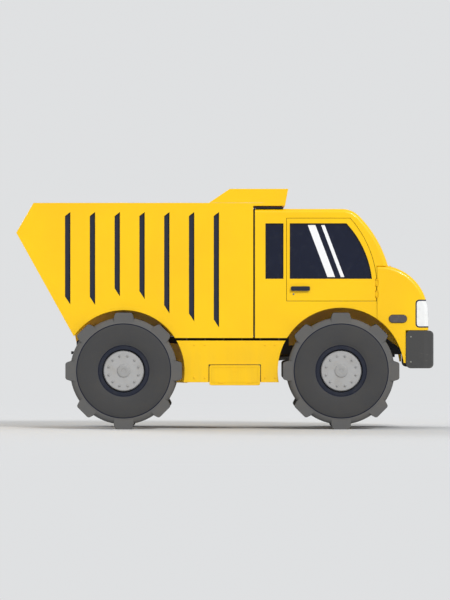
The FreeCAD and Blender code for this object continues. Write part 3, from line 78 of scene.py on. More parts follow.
class Port:
    """A socket in a material's tree. Arithmetic on it adds Math nodes."""

    def __init__(self, tree, socket):
        self.tree, self.socket = tree, socket

    def maths(self, operation, *values):
        node = put(self.tree.nodes.new("ShaderNodeMath"), operation=operation)
        for entry, value in zip(node.inputs, values):
            if isinstance(value, Port):
                self.tree.links.new(value.socket, entry)
            else:
                entry.default_value = value
        return Port(self.tree, node.outputs[0])

    def __rsub__(self, other):
        return self.maths("SUBTRACT", other, self)

    def __abs__(self):
        return self.maths("ABSOLUTE", self)

    def ridges(self, pitch):
        """Ridges along this value: 0.5 at each multiple of pitch, 0 half-way between them."""
        return abs(self.maths("FRACT", self / pitch) - 0.5)


for method, operation in (("__add__", "ADD"), ("__radd__", "ADD"), ("__sub__", "SUBTRACT"),
                          ("__mul__", "MULTIPLY"), ("__rmul__", "MULTIPLY"), ("__truediv__", "DIVIDE"),
                          ("__pow__", "POWER"), ("__gt__", "GREATER_THAN"), ("__lt__", "LESS_THAN"),
                          ("least", "MINIMUM"), ("most", "MAXIMUM")):
    setattr(Port, method, lambda self, other, operation=operation: self.maths(operation, self, other))


def tint(code):
    """A colour written as six hex digits, made linear."""
    parts = [int(code[k:k + 2], 16) / 255 for k in (0, 2, 4)]
    return [p / 12.92 if p < 0.04045 else ((p + 0.055) / 1.055) ** 2.4 for p in parts] + [1.0]


class Finish:
    """A finish made of nodes. add() takes a node's type, its socket values and its settings."""

    def __init__(self, name, tree=None):
        if tree is None:
            self.material = put(bpy.data.materials.new(name), use_nodes=True)
            tree = self.material.node_tree
        self.tree = tree
        tree.nodes.clear()

    def add(self, kind, values=None, out=0, **settings):
        node = put(self.tree.nodes.new(kind), **settings)
        for key, value in (values or {}).items():
            if isinstance(value, Port):
                self.tree.links.new(value.socket, node.inputs[key])
            else:
                node.inputs[key].default_value = tint(value) if isinstance(value, str) else value
        return Port(self.tree, node.outputs[out]) if node.outputs else None

    def axes(self, space="Object"):
        split = self.add("ShaderNodeSeparateXYZ", {0: self.add("ShaderNodeTexCoord", out=space)})
        return [Port(self.tree, socket) for socket in split.socket.node.outputs]

    def noise(self, scale, detail=3.0, stretch=None):
        where = self.add("ShaderNodeTexCoord", out="Object")
        if stretch:
            where = self.add("ShaderNodeMapping", {"Vector": where, "Scale": stretch})
        return self.add("ShaderNodeTexNoise", {"Vector": where, "Scale": scale, "Detail": detail,
                                               "Roughness": 0.55})

    def ramp(self, value, low, high):
        """0 below low, 1 above high, and smooth between them."""
        return self.add("ShaderNodeMapRange", {0: value, 1: low, 2: high}, interpolation_type="SMOOTHSTEP")

    def patches(self, scale, detail, low, high, stretch=None):
        return self.ramp(self.noise(scale, detail, stretch), low, high)

    def mix(self, share, first, second):
        return self.add("ShaderNodeMix", {0: share, 6: first, 7: second}, 2, data_type="RGBA")

    def shade(self, colour, roughness, height, depth, fixed=None, **varying):
        """A Principled surface, raised by height times depth metres. fixed names its constant sockets."""
        relief = self.add("ShaderNodeBump", {"Height": height, "Distance": depth, "Strength": 1.0})
        surface = self.add("ShaderNodeBsdfPrincipled", {"Base Color": colour, "Roughness": roughness,
                                                        "Normal": relief, **varying, **(fixed or {})})
        self.add("ShaderNodeOutputMaterial", {"Surface": surface})
        return self.material


pale, pale_top = (0.74, 0.75, 0.76, 1.0), (0.90, 0.91, 0.93, 1.0)
floor_radius, clear_radius, fade_radius = 60.0, 7.0, 22.0
scene.world = put(bpy.data.worlds.new("studio"), use_nodes=True)
air = Finish("studio", scene.world.node_tree)
path = air.add("ShaderNodeLightPath").socket.node.outputs
seen = Port(air.tree, path["Is Camera Ray"])
for ray in ("Is Glossy Ray", "Is Transmission Ray"):
    seen = seen.most(Port(air.tree, path[ray]))
rise = air.axes("Generated")[2]
backdrop = air.add("ShaderNodeBackground", {"Color": air.mix(air.ramp(rise, 0.04, 0.75), pale, pale_top)})
fill = air.add("ShaderNodeBackground", {"Color": "FFFFFF", "Strength": 0.62})
air.add("ShaderNodeOutputWorld", {"Surface": air.add("ShaderNodeMixShader", {0: seen, 1: fill, 2: backdrop})})

for name, strength, spread, aim in (("key_lamp", 1.75, 14, (-0.40, 0.80, -0.62)),
                                    ("side_lamp", 0.95, 25, (0.55, -0.70, -0.45))):
    lamp = put(bpy.data.lights.new(name, "SUN"), energy=strength, angle=math.radians(spread))
    stand(name, lamp).rotation_euler = Vector(aim).to_track_quat("-Z", "Y").to_euler()

bpy.ops.mesh.primitive_circle_add(vertices=96, radius=floor_radius, fill_type="NGON")
floor = put(bpy.context.object, name="studio_floor")
ground = Finish("studio_floor")
floor_x, floor_y, _ = ground.axes()
away = (floor_x * floor_x + floor_y * floor_y) ** 0.5
even = ground.add("ShaderNodeEmission", {"Color": pale})
matt = ground.add("ShaderNodeBsdfPrincipled", {"Base Color": (0.655, 0.665, 0.675, 1.0), "Roughness": 0.9})
laid = ground.add("ShaderNodeMixShader", {0: ground.ramp(away, clear_radius, fade_radius), 1: matt, 2: even})
ground.add("ShaderNodeOutputMaterial", {"Surface": laid})
floor.data.materials.append(ground.material)


# Frame rails and cross members
# Two pressed steel channels, 14 mm thick, joined by bolted channels and by the end beam that carries
# the bed hinge and the drawbar plate. All are sprayed with one coat of near-black satin enamel.
def tree_of(name, inputs, nodes, links):
    """A modifier tree. nodes maps a label to a type, settings and values. links reads "a.0 > b.Mesh, ..."."""
    tree = bpy.data.node_groups.new(name, "GeometryNodeTree")
    for label, kind, *preset in [("Geometry", "Geometry"), *inputs]:
        socket = tree.interface.new_socket(label, in_out="INPUT", socket_type="NodeSocket" + kind)
        for value in preset:
            socket.default_value = value
    tree.interface.new_socket("Geometry", in_out="OUTPUT", socket_type="NodeSocketGeometry")
    made = {"in": tree.nodes.new("NodeGroupInput"), "out": tree.nodes.new("NodeGroupOutput")}
    for label, (kind, *rest) in nodes.items():
        settings, values = (*rest, {}, {})[:2]
        made[label] = put(tree.nodes.new(kind), **settings)
        for key, value in values.items():
            made[label].inputs[key].default_value = value
    for link in links.split(", "):
        ends = []
        for end, way in zip(link.split(" > "), ("outputs", "inputs")):
            label, key = end.split(".")
            ends.append(getattr(made[label], way)[int(key) if key.isdigit() else key])
        tree.links.new(*ends)
    return tree


shading_tree = tree_of("even_shading", [("Sharp angle", "Float", math.radians(32))], {
    "every": ("GeometryNodeSetShadeSmooth",), "edges": ("GeometryNodeInputMeshEdgeAngle",),
    "sharp": ("FunctionNodeCompare", {"operation": "GREATER_THAN"}),
    "kept": ("GeometryNodeSetShadeSmooth", {"domain": "EDGE"}, {"Shade Smooth": False})},
    "in.0 > every.Geometry, edges.Unsigned Angle > sharp.0, in.1 > sharp.1, every.0 > kept.Geometry, "
    "sharp.0 > kept.Selection, kept.0 > out.0")


def roll_edges(piece, edge):
    """Modifiers that clean a solid of triangles, roll its sharp edges over and shade it evenly."""
    put(piece.modifiers.new("welded", "WELD"), merge_threshold=0.00002)
    put(piece.modifiers.new("flat_faces", "DECIMATE"), decimate_type="DISSOLVE", angle_limit=math.radians(0.4))
    put(piece.modifiers.new("rolled_edges", "BEVEL"), width=edge, segments=2, limit_method="ANGLE",
        angle_limit=math.radians(40), use_clamp_overlap=True)
    put(piece.modifiers.new("shading", "NODES"), node_group=shading_tree)
    put(piece.modifiers.new("even_normals", "WEIGHTED_NORMAL"), keep_sharp=True, weight=100)


def dress(names, material, edge=0.003):
    """Gives solids of the frame their finish, and rolls their sharp edges over by edge metres."""
    for name in names.split():
        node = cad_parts[name]
        if not node.material_slots:
            node.data.materials.append(material)
        for entry in node.material_slots:
            entry.material = material
        roll_edges(node, edge)


def enamel(name, colour, rough, dust=0.25):
    """Sprayed enamel with a little orange peel, and road dust that thins out above the axles."""
    paint = Finish(name)
    peel, cloud = paint.noise(240.0, 2.0), paint.noise(1.7, 4.0)
    settled = (1.0 - paint.ramp(paint.axes()[2], 0.3, 1.6)) * paint.ramp(cloud, 0.35, 0.75) * dust
    shaded = paint.mix(paint.ramp(cloud, 0.3, 0.7) * 0.10, colour, "000000")
    return paint.shade(paint.mix(settled, shaded, "8C8272"), settled * 0.5 + (peel * 0.08 + rough), peel, 0.0004,
                       {"Specular IOR Level": 0.35})


dress("frame_rail_left frame_rail_right cross_members", enamel("frame_enamel", "33363D", 0.42))


def mesh_of(name, maker):
    """A mesh of what maker puts into an empty bmesh."""
    shape = bmesh.new()
    maker(shape)
    mesh = bpy.data.meshes.new(name)
    shape.to_mesh(mesh)
    shape.free()
    return mesh


def riding(name, mesh, body, smooth=35):
    """The mesh as a piece that rides on a body, shaded smooth between edges of over smooth degrees."""
    mesh.shade_smooth()
    mesh.set_sharp_from_angle(angle=math.radians(smooth))
    piece = stand(name, mesh)
    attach(piece, body)
    return piece


def circle(radius, count, start=0.0, end=360.0):
    """(cosine, sine) points on a circle, count of them to a full turn, from start to before end."""
    steps = round(count * (end - start) / 360)
    angles = [math.radians(start) + 2 * math.pi * k / count for k in range(steps)]
    return [(radius * math.cos(a), radius * math.sin(a)) for a in angles]


def lathe(shape, profile, centre, axis="Y", segments=48):
    """Turns (along, radius) points about an axis through centre, and closes the ends of an open profile."""
    if profile[0] != profile[-1]:
        start, end = [[(along, 0.0)] if radius else [] for along, radius in (profile[0], profile[-1])]
        profile = start + profile + end
    rings = []
    for along, radius in profile:
        spots = circle(radius, segments)[:segments if radius else 1]
        points = [{"X": (along, c, s), "Y": (s, along, c), "Z": (c, s, along)}[axis] for c, s in spots]
        rings.append([shape.verts.new(Vector(centre) + Vector(point)) for point in points])
    for first, last in zip(rings[:-1], rings[1:]):
        for k in range(segments):
            n = (k + 1) % segments
            corners = [first[k % len(first)], first[n % len(first)], last[n % len(last)], last[k % len(last)]]
            shape.faces.new(list(dict.fromkeys(corners)))
    if len(rings[0]) > 1 and profile[0] == profile[-1]:
        bmesh.ops.remove_doubles(shape, verts=rings[0] + rings[-1], dist=0.00001)
    bmesh.ops.recalc_face_normals(shape, faces=shape.faces)


def slab(shape, outline, low, high, plane="XZ", bevel=0.0, steps=2):
    """A plate with this outline in a plane, from low to high across it, and its edges rolled over."""
    order = {"XZ": (0, 2, 1), "XY": (0, 1, 2), "YZ": (2, 0, 1)}[plane]
    before = set(shape.verts)
    bottom, top = [[shape.verts.new([(u, v, w)[k] for k in order]) for u, v in outline]
                   for w in sorted((low, high))]
    faces = [shape.faces.new(bottom), shape.faces.new(top)]
    for k in range(len(outline)):
        n = (k + 1) % len(outline)
        faces.append(shape.faces.new([bottom[k], bottom[n], top[n], top[k]]))
    bmesh.ops.recalc_face_normals(shape, faces=faces)
    if bevel:
        edges = dict.fromkeys(e for f in faces for e in f.edges)
        edges = [e for e in edges if e.calc_face_angle(0) > math.radians(30)]
        bmesh.ops.bevel(shape, geom=edges, offset=bevel, segments=steps, affect="EDGES", clamp_overlap=True)
    return [v for v in shape.verts if v not in before]


def bolt_head(shape):
    """A hexagon head on its washer, standing on Z, for the bolt rows."""
    lathe(shape, [(0.0, 0.0125), (0.0022, 0.0125), (0.0026, 0.0118)], (0, 0, 0), "Z", 16)
    slab(shape, circle(0.0096, 6), 0.0026, 0.0096, "XY", 0.0008, 1)
    lathe(shape, [(0.0096, 0.0055), (0.0126, 0.0050), (0.0130, 0.0)], (0, 0, 0), "Z", 12)


bolt = bpy.data.objects.new("bolt_head", mesh_of("bolt_head", bolt_head))


def growing_tree(name, inputs, nodes, links, last):
    """A tree that grows a piece. Its last output is made real and takes the Finish."""
    nodes = {**nodes, "real": ("GeometryNodeRealizeInstances",), "paint": ("GeometryNodeSetMaterial",)}
    links += ", %s > real.0, real.0 > paint.Geometry, in.Finish > paint.Material, paint.0 > out.0" % last
    return tree_of(name, [*inputs, ("Finish", "Material")], nodes, links)


def grown(name, loops, tree, body, slot, smooth=35, ways=None, **inputs):
    """Runs a tree on loops, as a plain mesh on a body. Each is points, and "open", "closed" or "loose"."""
    points, edges = [], []
    for loop, kind in loops:
        first = len(points)
        points += [tuple(p) for p in loop]
        if kind != "loose":
            edges += [(k, k + 1) for k in range(first, len(points) - 1)]
        if kind == "closed":
            edges.append((len(points) - 1, first))
    mesh = bpy.data.meshes.new(name + "_places")
    mesh.from_pydata(points, edges, [])
    if ways:
        for item, way in zip(mesh.attributes.new("way", "FLOAT_VECTOR", "POINT").data, ways):
            item.vector = way
    holder = stand(name + "_places", mesh)
    grower = put(holder.modifiers.new("grower", "NODES"), node_group=tree)
    for item in tree.interface.items_tree:
        if item.in_out == "INPUT" and item.name in inputs:
            grower[item.identifier] = inputs[item.name]
    bpy.context.view_layer.update()
    made = bpy.data.meshes.new_from_object(holder.evaluated_get(bpy.context.evaluated_depsgraph_get()))
    made.name = name
    bpy.data.objects.remove(holder)
    return riding(name, made, body, smooth)


bolt_tree = growing_tree("bolt_rows", [("Bolt", "Object"), ("Size", "Float")], {
    "points": ("GeometryNodeMeshToPoints",), "part": ("GeometryNodeObjectInfo",),
    "way": ("GeometryNodeInputNamedAttribute", {"data_type": "FLOAT_VECTOR"}, {"Name": "way"}),
    "turn": ("FunctionNodeAlignRotationToVector", {"axis": "Z"}),
    "spin": ("FunctionNodeRotateRotation", {"rotation_space": "LOCAL"}),
    "chance": ("FunctionNodeRandomValue", {"data_type": "FLOAT_VECTOR"},
               {"Min": (0, 0, 0), "Max": (0, 0, 1.047), "Seed": 7}),
    "copies": ("GeometryNodeInstanceOnPoints",)},
    "in.0 > points.Mesh, in.Bolt > part.Object, way.Attribute > turn.Vector, points.0 > copies.Points, "
    "part.Geometry > copies.Instance, turn.0 > spin.Rotation, chance.0 > spin.Rotate By, "
    "spin.0 > copies.Rotation, in.Size > copies.Scale", "copies.0")


def bolts(name, spots, body, material, size, slot):
    """Bolt heads on spots, which are points and the way that each head stands out."""
    points, ways = zip(*spots)
    return grown(name, [(points, "loose")], bolt_tree, body, slot, ways=ways, Bolt=bolt, Size=size,
                 Finish=material)


def stained(name, colour, stain, share, grain, patch, rough, depth, metal=None, fixed=None):
    """A finish with a fine grain, and patches of a stain. rough: base, by grain, by patch; metal: base, by
    patch.
    """
    coat = Finish(name)
    fine = coat.noise(*grain)
    spots = coat.patches(*patch) * share
    varying = {"Metallic": spots * metal[1] + metal[0]} if metal else {}
    return coat.shade(coat.mix(spots, colour, stain), spots * rough[2] + (fine * rough[1] + rough[0]), fine,
                      depth, fixed, **varying)


def plated(name, colour, rough):
    """Zinc plate, dulled and spotted by weather."""
    return stained(name, colour, "5A5751", 1.0, (90.0, 4.0), (90.0, 4.0, 0.45, 0.7), (rough, 0.25, 0.0), 0.0002,
                   (0.85, 0.0))


zinc = plated("zinc_plate", "9A9A94", 0.34)
rail_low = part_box("frame_rail_right")[0]
bolt_start, bolt_pitch, bolt_count, bolt_zs, bolt_lift = 0.10, 0.26, 18, (1.255, 1.085), 0.0002
rail_spots = [((rail_low.x + bolt_start + bolt_pitch * k, side * (bolt_lift - rail_low.y), z), (0, side, 0))
              for side in (-1, 1) for k in range(bolt_count) for z in bolt_zs]
bolts("rail_bolts", rail_spots, "chassis", zinc, 1.25, "spring_steel")


# Axles, springs, steering, propeller shaft and engine
# Cast axle housings on stacks of spring leaves, forged steering knuckles and a turned tie rod, and
# an iron engine block that drives the rear axle through a tube shaft. All are bolted to the rails.
def spring_leaves():
    """Rolled spring steel, with a groove between its leaves and rust in streaks along them."""
    steel = Finish("spring_leaves")
    grain = steel.noise(60.0, 4.0, (1.0, 6.0, 20.0))
    leaf = steel.axes()[2].ridges(0.016)
    rust = steel.ramp(grain, 0.45, 0.72) * 0.5
    return steel.shade(steel.mix(rust, "3B3C40", "604A3A"), grain * 0.3 + 0.38, leaf + grain * 0.3, 0.0012,
                       Metallic=0.7 - rust)


raw_iron = stained("cast_iron", "3C3E43", "5B4436", 0.45, (130.0, 5.0), (3.5, 4.0, 0.52, 0.78),
                   (0.5, 0.2, 0.2), 0.0016, (0.55, -1.0))
dress("front_axle rear_axle engine_block knuckle_left knuckle_right", raw_iron, 0.004)
dress("leaf_springs", spring_leaves(), 0.0015)
dress("tie_rod propeller_shaft", plated("turned_steel", "77787A", 0.4), 0.002)


# Wheels
# Pressed steel discs welded into 25 in rims, and cast hubs in front of them. Beyond the light grey hub
# cover the rim and the disc are near-black navy, painted shade of the rim's inner face, and a ring of
# nuts holds the disc on its studs.
wheel_names = ["front_left", "front_right", "rear_left", "rear_right"]
wheel_middles = {name: sum(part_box("wheel_" + name), Vector()) / 2 for name in wheel_names}
wheel_plane_y, hub_face_reach, hub_radius = 1.110, 0.190, 0.2845
axle_z = wheel_middles["rear_right"].z
axle_xs = [wheel_middles[name].x for name in ("rear_right", "front_right")]


def wheel_spot(name):
    """The side that a wheel is on, and its centre on the wheel plane."""
    side = 1 if "left" in name else -1
    return side, Vector((axle_xs["front" in name], side * wheel_plane_y, axle_z))


def from_axle(finish):
    """How far a point is from the nearer axle's line, seen from the side."""
    x, _, z = finish.axes()
    rise = z - axle_z
    near = abs(x - axle_xs[0]).least(abs(x - axle_xs[1]))
    return (near * near + rise * rise) ** 0.5


def wheel_paint():
    """Light grey hub cover, masked off at its edge from the rim's near-black navy, which is painted shade."""
    paint = Finish("wheel_paint")
    peel = paint.noise(200.0, 2.0)
    edge = paint.ramp(from_axle(paint), hub_radius, hub_radius + 0.0015)
    grime = paint.patches(6.0, 4.0, 0.42, 0.75) * 0.22
    # The rim's near-black navy is painted shade of its inner face; the grime mixed into both colours is real.
    hub, rim = paint.mix(grime, "A9A9A9", "8E877C"), paint.mix(grime, "161C2C", "4A4640")
    return paint.shade(paint.mix(edge, hub, rim), grime + (peel * 0.08 + 0.42), peel, 0.0004,
                       {"Specular IOR Level": 0.3})


hub_grey = enamel("hub_grey", "A4A4A4", 0.36, 0.1)
dress(" ".join("wheel_" + name for name in wheel_names), wheel_paint())


def mesh_piece(name, maker, body, material):
    mesh = mesh_of(name, maker)
    mesh.materials.append(material)
    return riding(name, mesh, body)


nut_circle, nut_count, cap_radius = 0.215, 12, 0.092
cap_steps = [(-0.004, 1.0), (0.004, 1.0), (0.009, 0.96), (0.0126, 0.86), (0.014, 0.74), (0.014, 0.37),
             (0.009, 0.33)]
for name in wheel_names:
    side, centre = wheel_spot(name)
    face_y = centre.y + side * hub_face_reach
    ring = [((centre.x + c, face_y, centre.z + s), (0, side, 0))
            for c, s in circle(nut_circle, nut_count, 180 / nut_count, 360 + 180 / nut_count)]
    bolts("hub_nuts_" + name, ring, "wheel_" + name, hub_grey, 1.5, "wheel_paint")
    cap_profile = [(side * y, share * cap_radius) for y, share in cap_steps]
    mesh_piece("hub_cap_" + name, lambda shape: lathe(shape, cap_profile, (centre.x, face_y, centre.z)),
               "wheel_" + name, hub_grey)


# Tyres
# Earthmover tyres of 1.6 m, moulded in one piece: a smooth sidewall with a ring at its shoulder, and
# a grooved tread band with eight tall lugs across it, each siped into three blocks.
ring_radius, tread_radius, lug_radius = 0.658, 0.749, 0.815
lug_count, lug_foot, lug_tip, lug_corner, lug_reach = 8, 0.279, 0.218, 0.038, 0.2215


def tyre_rubber():
    """Carbon-black rubber, darker on the sidewall and paler and worn on the tread, with painted shade in
    navy in the shoulder ring's groove and along the bead next to the rim.
    """
    rubber = Finish("tyre_rubber")
    away = from_axle(rubber)
    grain, cloud = rubber.noise(160.0, 4.0), rubber.noise(4.0, 4.0)
    outer = rubber.ramp(away, ring_radius + 0.003, ring_radius + 0.008)
    # Painted shade: groove lays navy in the shoulder ring's groove and on a band at the bead next to the rim.
    groove = 1.0 - rubber.ramp(abs(away - ring_radius), 0.0055, 0.0080)
    groove = groove.most(1.0 - rubber.ramp(away, 0.358, 0.364))
    wall = rubber.mix(rubber.ramp(cloud, 0.35, 0.8) * 0.3, "424243", "4E4C48")
    crown = rubber.mix(rubber.ramp(cloud, 0.3, 0.75) * 0.4, "5E5E5E", "6B665F")
    ribs = away.ridges(0.0135) * rubber.ramp(abs(away - 0.612), 0.030, 0.027)
    return rubber.shade(rubber.mix(groove, rubber.mix(outer, wall, crown), "1B2032"),
                        cloud * 0.12 + (grain * 0.1 + 0.66), grain * 0.3 + ribs * 2.0, 0.0015,
                        {"Specular IOR Level": 0.25})


tyre_side = [(0.200, 0.3505), (0.213, 0.353), (0.219, 0.362), (0.2205, 0.376), (0.2235, 0.384), (0.2285, 0.400),
             (0.2345, 0.440), (0.2385, 0.500), (0.2385, 0.545), (0.2355, 0.600), (0.231, 0.628), (0.228, 0.642),
             (0.2255, 0.652), (0.2190, 0.655), (0.2190, 0.661), (0.2245, 0.664), (0.2215, 0.685), (0.212, 0.713),
             (0.196, 0.735), (0.175, 0.7455), (0.158, tread_radius)]
tyre_side += [(y + shift, tread_radius - drop) for y in (0.113, 0.045)
              for shift, drop in ((0.008, 0), (0.005, 0.009), (-0.005, 0.009), (-0.008, 0))]


def lug_outline(tip):
    """The lug's end, from below the tread up to its two rounded corners."""
    foot, brow = ring_radius + 0.006, tread_radius - 0.007
    points = [(-lug_foot / 2, foot), (lug_foot / 2, foot), (lug_foot / 2, brow)]
    for corner, start in ((1, 10), (-1, 95)):
        for step in range(7):
            a = math.radians(start + 12.5 * step)
            points.append((corner * (lug_tip / 2 - lug_corner * 0.55) + lug_corner * math.cos(a),
                           tip - lug_corner + lug_corner * math.sin(a)))
    return points + [(-lug_foot / 2, brow)]


def tyre(shape, centre):
    lathe(shape, tyre_side + [(-y, r) for y, r in reversed(tyre_side)] + tyre_side[:1], centre, "Y", 112)
    blocks = [(0.002 - lug_reach, lug_reach - 0.002, lug_radius - 0.014)]
    blocks += [(low, high, lug_radius)
               for low, high in ((-lug_reach, -0.078), (-0.070, 0.070), (0.078, lug_reach))]
    for c, s in circle(1.0, lug_count):
        for low, high, tip in blocks:
            for v in slab(shape, lug_outline(tip), low, high, "XZ", 0.005):
                x, y, z = v.co
                v.co = centre + Vector((c * x + s * z, y, c * z - s * x))


rubber_finish = tyre_rubber()
for name in wheel_names:
    centre = wheel_spot(name)[1]
    tread = mesh_piece("tyre_carcass_" + name, lambda shape: tyre(shape, centre), "wheel_" + name, rubber_finish)
    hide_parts("tyre_" + name)


# Hoist
# Two telescopic rams between the rails. Each barrel is a painted tube with a welded foot, and its rod
# is ground and hard chromed, with a film of oil.
dress("hoist_barrels", enamel("barrel_enamel", "2C2F36", 0.38), 0.0015)
chrome = stained("rod_chrome", "C6C8CC", "8C8578", 0.3, (30.0, 3.0, (1.0, 1.0, 12.0)), (5.0, 3.0, 0.5, 0.7),
                 (0.12, 0.08, 0.5), 0.0001, (1.0, -0.5))
dress("hoist_rods", chrome, 0.0015)


# Bed
# A welded tipping body: sides pressed with seven deep flutes, a floor on cross ribs, and a front wall
# that folds forward over the cab. Gloss yellow enamel, scoured to steel inside, with painted shade, a
# dark navy coat, in the flutes and round the top of the rear arch.
bed_inner_y, bed_wall_x, bed_floor_z, bed_rim_z, body_side_y = 1.110, 0.305, 1.725, 3.168, 1.200
flute_x, flute_y, flute_low, flute_high, flute_top, flute_drop = -0.050, 1.150, 1.420, 2.850, 3.060, 0.090


def body_enamel(name, dark=None, steel=None, coats=("1B2238", "2A3044")):
    """Gloss enamel: orange peel, a slight fade and road splash low down. Masks lay other coats on it."""
    paint = Finish(name)
    x, y, z = paint.axes()
    peel, cloud, streak = paint.noise(150.0, 2.0), paint.noise(0.8, 5.0), paint.noise(5.0, 4.0, (1.0, 1.0, 0.12))
    splash = (1.0 - paint.ramp(z, 0.6, 1.5)) * paint.ramp(streak, 0.4, 0.75)
    faded = paint.mix(paint.ramp(cloud, 0.35, 0.7), "FFCC00", "FAC504")
    shade = paint.mix((splash * 0.14).most(paint.ramp(streak, 0.58, 0.8) * 0.05), faded, "9C8448")
    rough, height, metal = splash * 0.15 + (peel * 0.06 + 0.28), peel * 0.2, 0.0
    # dark marks where a dark coat goes: painted shade in the bed's flutes, the trim band round the headlamps,
    # and the rubber mat on the cab floor.
    if dark:
        inside = dark(paint, x, abs(y), z)
        shade = paint.mix(inside, shade, paint.mix(cloud * 0.3, *coats))
        rough = rough + inside * 0.3
    if steel:
        scratch = paint.noise(26.0, 5.0, (0.12, 1.0, 1.0))
        rust = paint.patches(3.0, 5.0, 0.50, 0.74)
        bare = paint.ramp(scratch * 0.5 + (steel(paint, x, abs(y), z) - 0.25), 0.42, 0.50)
        worn = paint.mix(rust * 0.4, "A9A7A1", "8A5F42")
        shade = paint.mix(bare, shade, paint.mix(paint.ramp(scratch, 0.50, 0.66) * 0.6, worn, "C9C8C3"))
        rough = rough + bare * (rust * 0.3 + 0.14)
        height, metal = height + bare * scratch, bare * (0.30 - rust * 0.25)
    return paint.shade(shade, rough, height, 0.0010, {"Specular IOR Level": 0.3, "Coat Roughness": 0.08,
                                                     "Coat Weight": 0.15}, Metallic=metal)


# Painted shade: the flutes' walls and floors, and the inner edge at the top of the rear arch, take the dark navy
# coat.
def flute_shade_mask(paint, x, y, z):
    inside = (y < body_side_y - 0.0012) * (y > flute_y) * (x < flute_x) * (z > flute_low) * (z < flute_top)
    return inside * (x + z * 0.3048 > -1.695)


def high_paint(paint, z):
    return 1.25 - paint.ramp(z, 2.5, 3.25) * 0.85


def scoured(paint, x, y, z):
    """1 on the bed's inner faces low down, fading to the paint that is left near the rim."""
    inner = (y < bed_inner_y + 0.001) * (x < bed_wall_x + 0.001) * (z > bed_floor_z - 0.0015)
    rim = (z > bed_rim_z - 0.0015) * (z < bed_rim_z + 0.0015) * 0.46
    return (inner * high_paint(paint, z)).most(rim)


def node_mesh(shape, node):
    shape.from_mesh(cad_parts[node].data)
    bmesh.ops.remove_doubles(shape, verts=shape.verts, dist=0.00002)


def bed_panel(shape, side, node):
    """The bed side with each flute's slanted foot let down by flute_drop, to the length on the truck."""
    node_mesh(shape, node)
    feet = set()
    for edge in shape.edges:
        low, high = sorted(edge.verts, key=lambda v: v.co.z)
        upright = abs(low.co.x - high.co.x) + abs(low.co.y - high.co.y) < 0.0001
        if upright and low.co.x < flute_x and high.co.z > flute_high and abs(low.co.y) > flute_y:
            feet.add(low)
    outer = [f for f in shape.faces
             if f.normal.y * side > 0.99 and abs(f.calc_center_median().y) > body_side_y - 0.001]
    rim = [e for e in shape.edges if sum(f in outer for f in e.link_faces) == 1]
    bmesh.ops.delete(shape, geom=outer, context="FACES")
    for v in feet:
        v.co.z -= flute_drop
    bmesh.ops.triangle_fill(shape, use_beauty=True, use_dissolve=False, edges=rim)
    bmesh.ops.recalc_face_normals(shape, faces=shape.faces)


sides = ((1, "left"), (-1, "right"))
fluted = body_enamel("bed_yellow", flute_shade_mask, scoured)
for side, hand in sides:
    node = "bed_side_" + hand
    panel = mesh_piece("bed_panel_" + hand, lambda shape: bed_panel(shape, side, node), "bed", fluted)
    roll_edges(panel, 0.003)
    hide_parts(node)
dress("bed_floor bed_front_wall", body_enamel("inner_yellow", None, scoured))
weld_tree = growing_tree("weld_ripples", [("Radius", "Float"), ("Pitch", "Float")], {
    "curve": ("GeometryNodeMeshToCurve",), "spread": ("GeometryNodeResampleCurve", {"mode": "LENGTH"}),
    "points": ("GeometryNodeCurveToPoints", {"mode": "EVALUATED"}),
    "drop": ("GeometryNodeMeshIcoSphere", {}, {"Subdivisions": 1}),
    "size": ("FunctionNodeRandomValue", {}, {2: 0.85, 3: 1.15, "Seed": 11}),
    "copies": ("GeometryNodeInstanceOnPoints",)},
    "in.0 > curve.0, curve.0 > spread.0, in.Pitch > spread.Length, spread.0 > points.0, "
    "in.Radius > drop.Radius, points.0 > copies.Points, drop.0 > copies.Instance, size.1 > copies.Scale",
    "copies.0")
weld_metal = stained("weld_metal", "86847F", "6B5443", 1.0, (40.0, 4.0), (40.0, 4.0, 0.4, 0.7), (0.35, 0.3, 0.0),
                     0.0004, (0.6, 0.0))
weld_y, weld_x, weld_z = bed_inner_y - 0.003, bed_wall_x - 0.003, bed_floor_z + 0.003
weld_rear_x, weld_top = -2.24, 3.10
seams = []
for y in (-weld_y, weld_y):
    seams.append(([(weld_rear_x, y, weld_z), (weld_x, y, weld_z)], "open"))
    seams.append(([(weld_x, y, weld_z + 0.007), (weld_x, y, weld_top)], "open"))
seams.append(([(weld_x, -weld_y, weld_z), (weld_x, weld_y, weld_z)], "open"))
grown("bed_welds", seams, weld_tree, "bed", "yellow_paint", 60, Radius=0.009, Pitch=0.006, Finish=weld_metal)


# Tailgate
# One plate pressed with panels, which hangs on two trunnions in the bed sides and swings out as the
# bed tips. Its inner face is scoured like the bed's.
inner_face = max((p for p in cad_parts["tailgate"].data.polygons if p.normal.x > 0.3), key=lambda p: p.area)
gate_way, gate_depth = inner_face.normal.copy(), inner_face.normal.dot(inner_face.center) - 0.0015


def gate_scoured(paint, x, y, z):
    return (x * gate_way.x + z * gate_way.z > gate_depth) * high_paint(paint, z)


dress("tailgate", body_enamel("gate_yellow", None, gate_scoured))


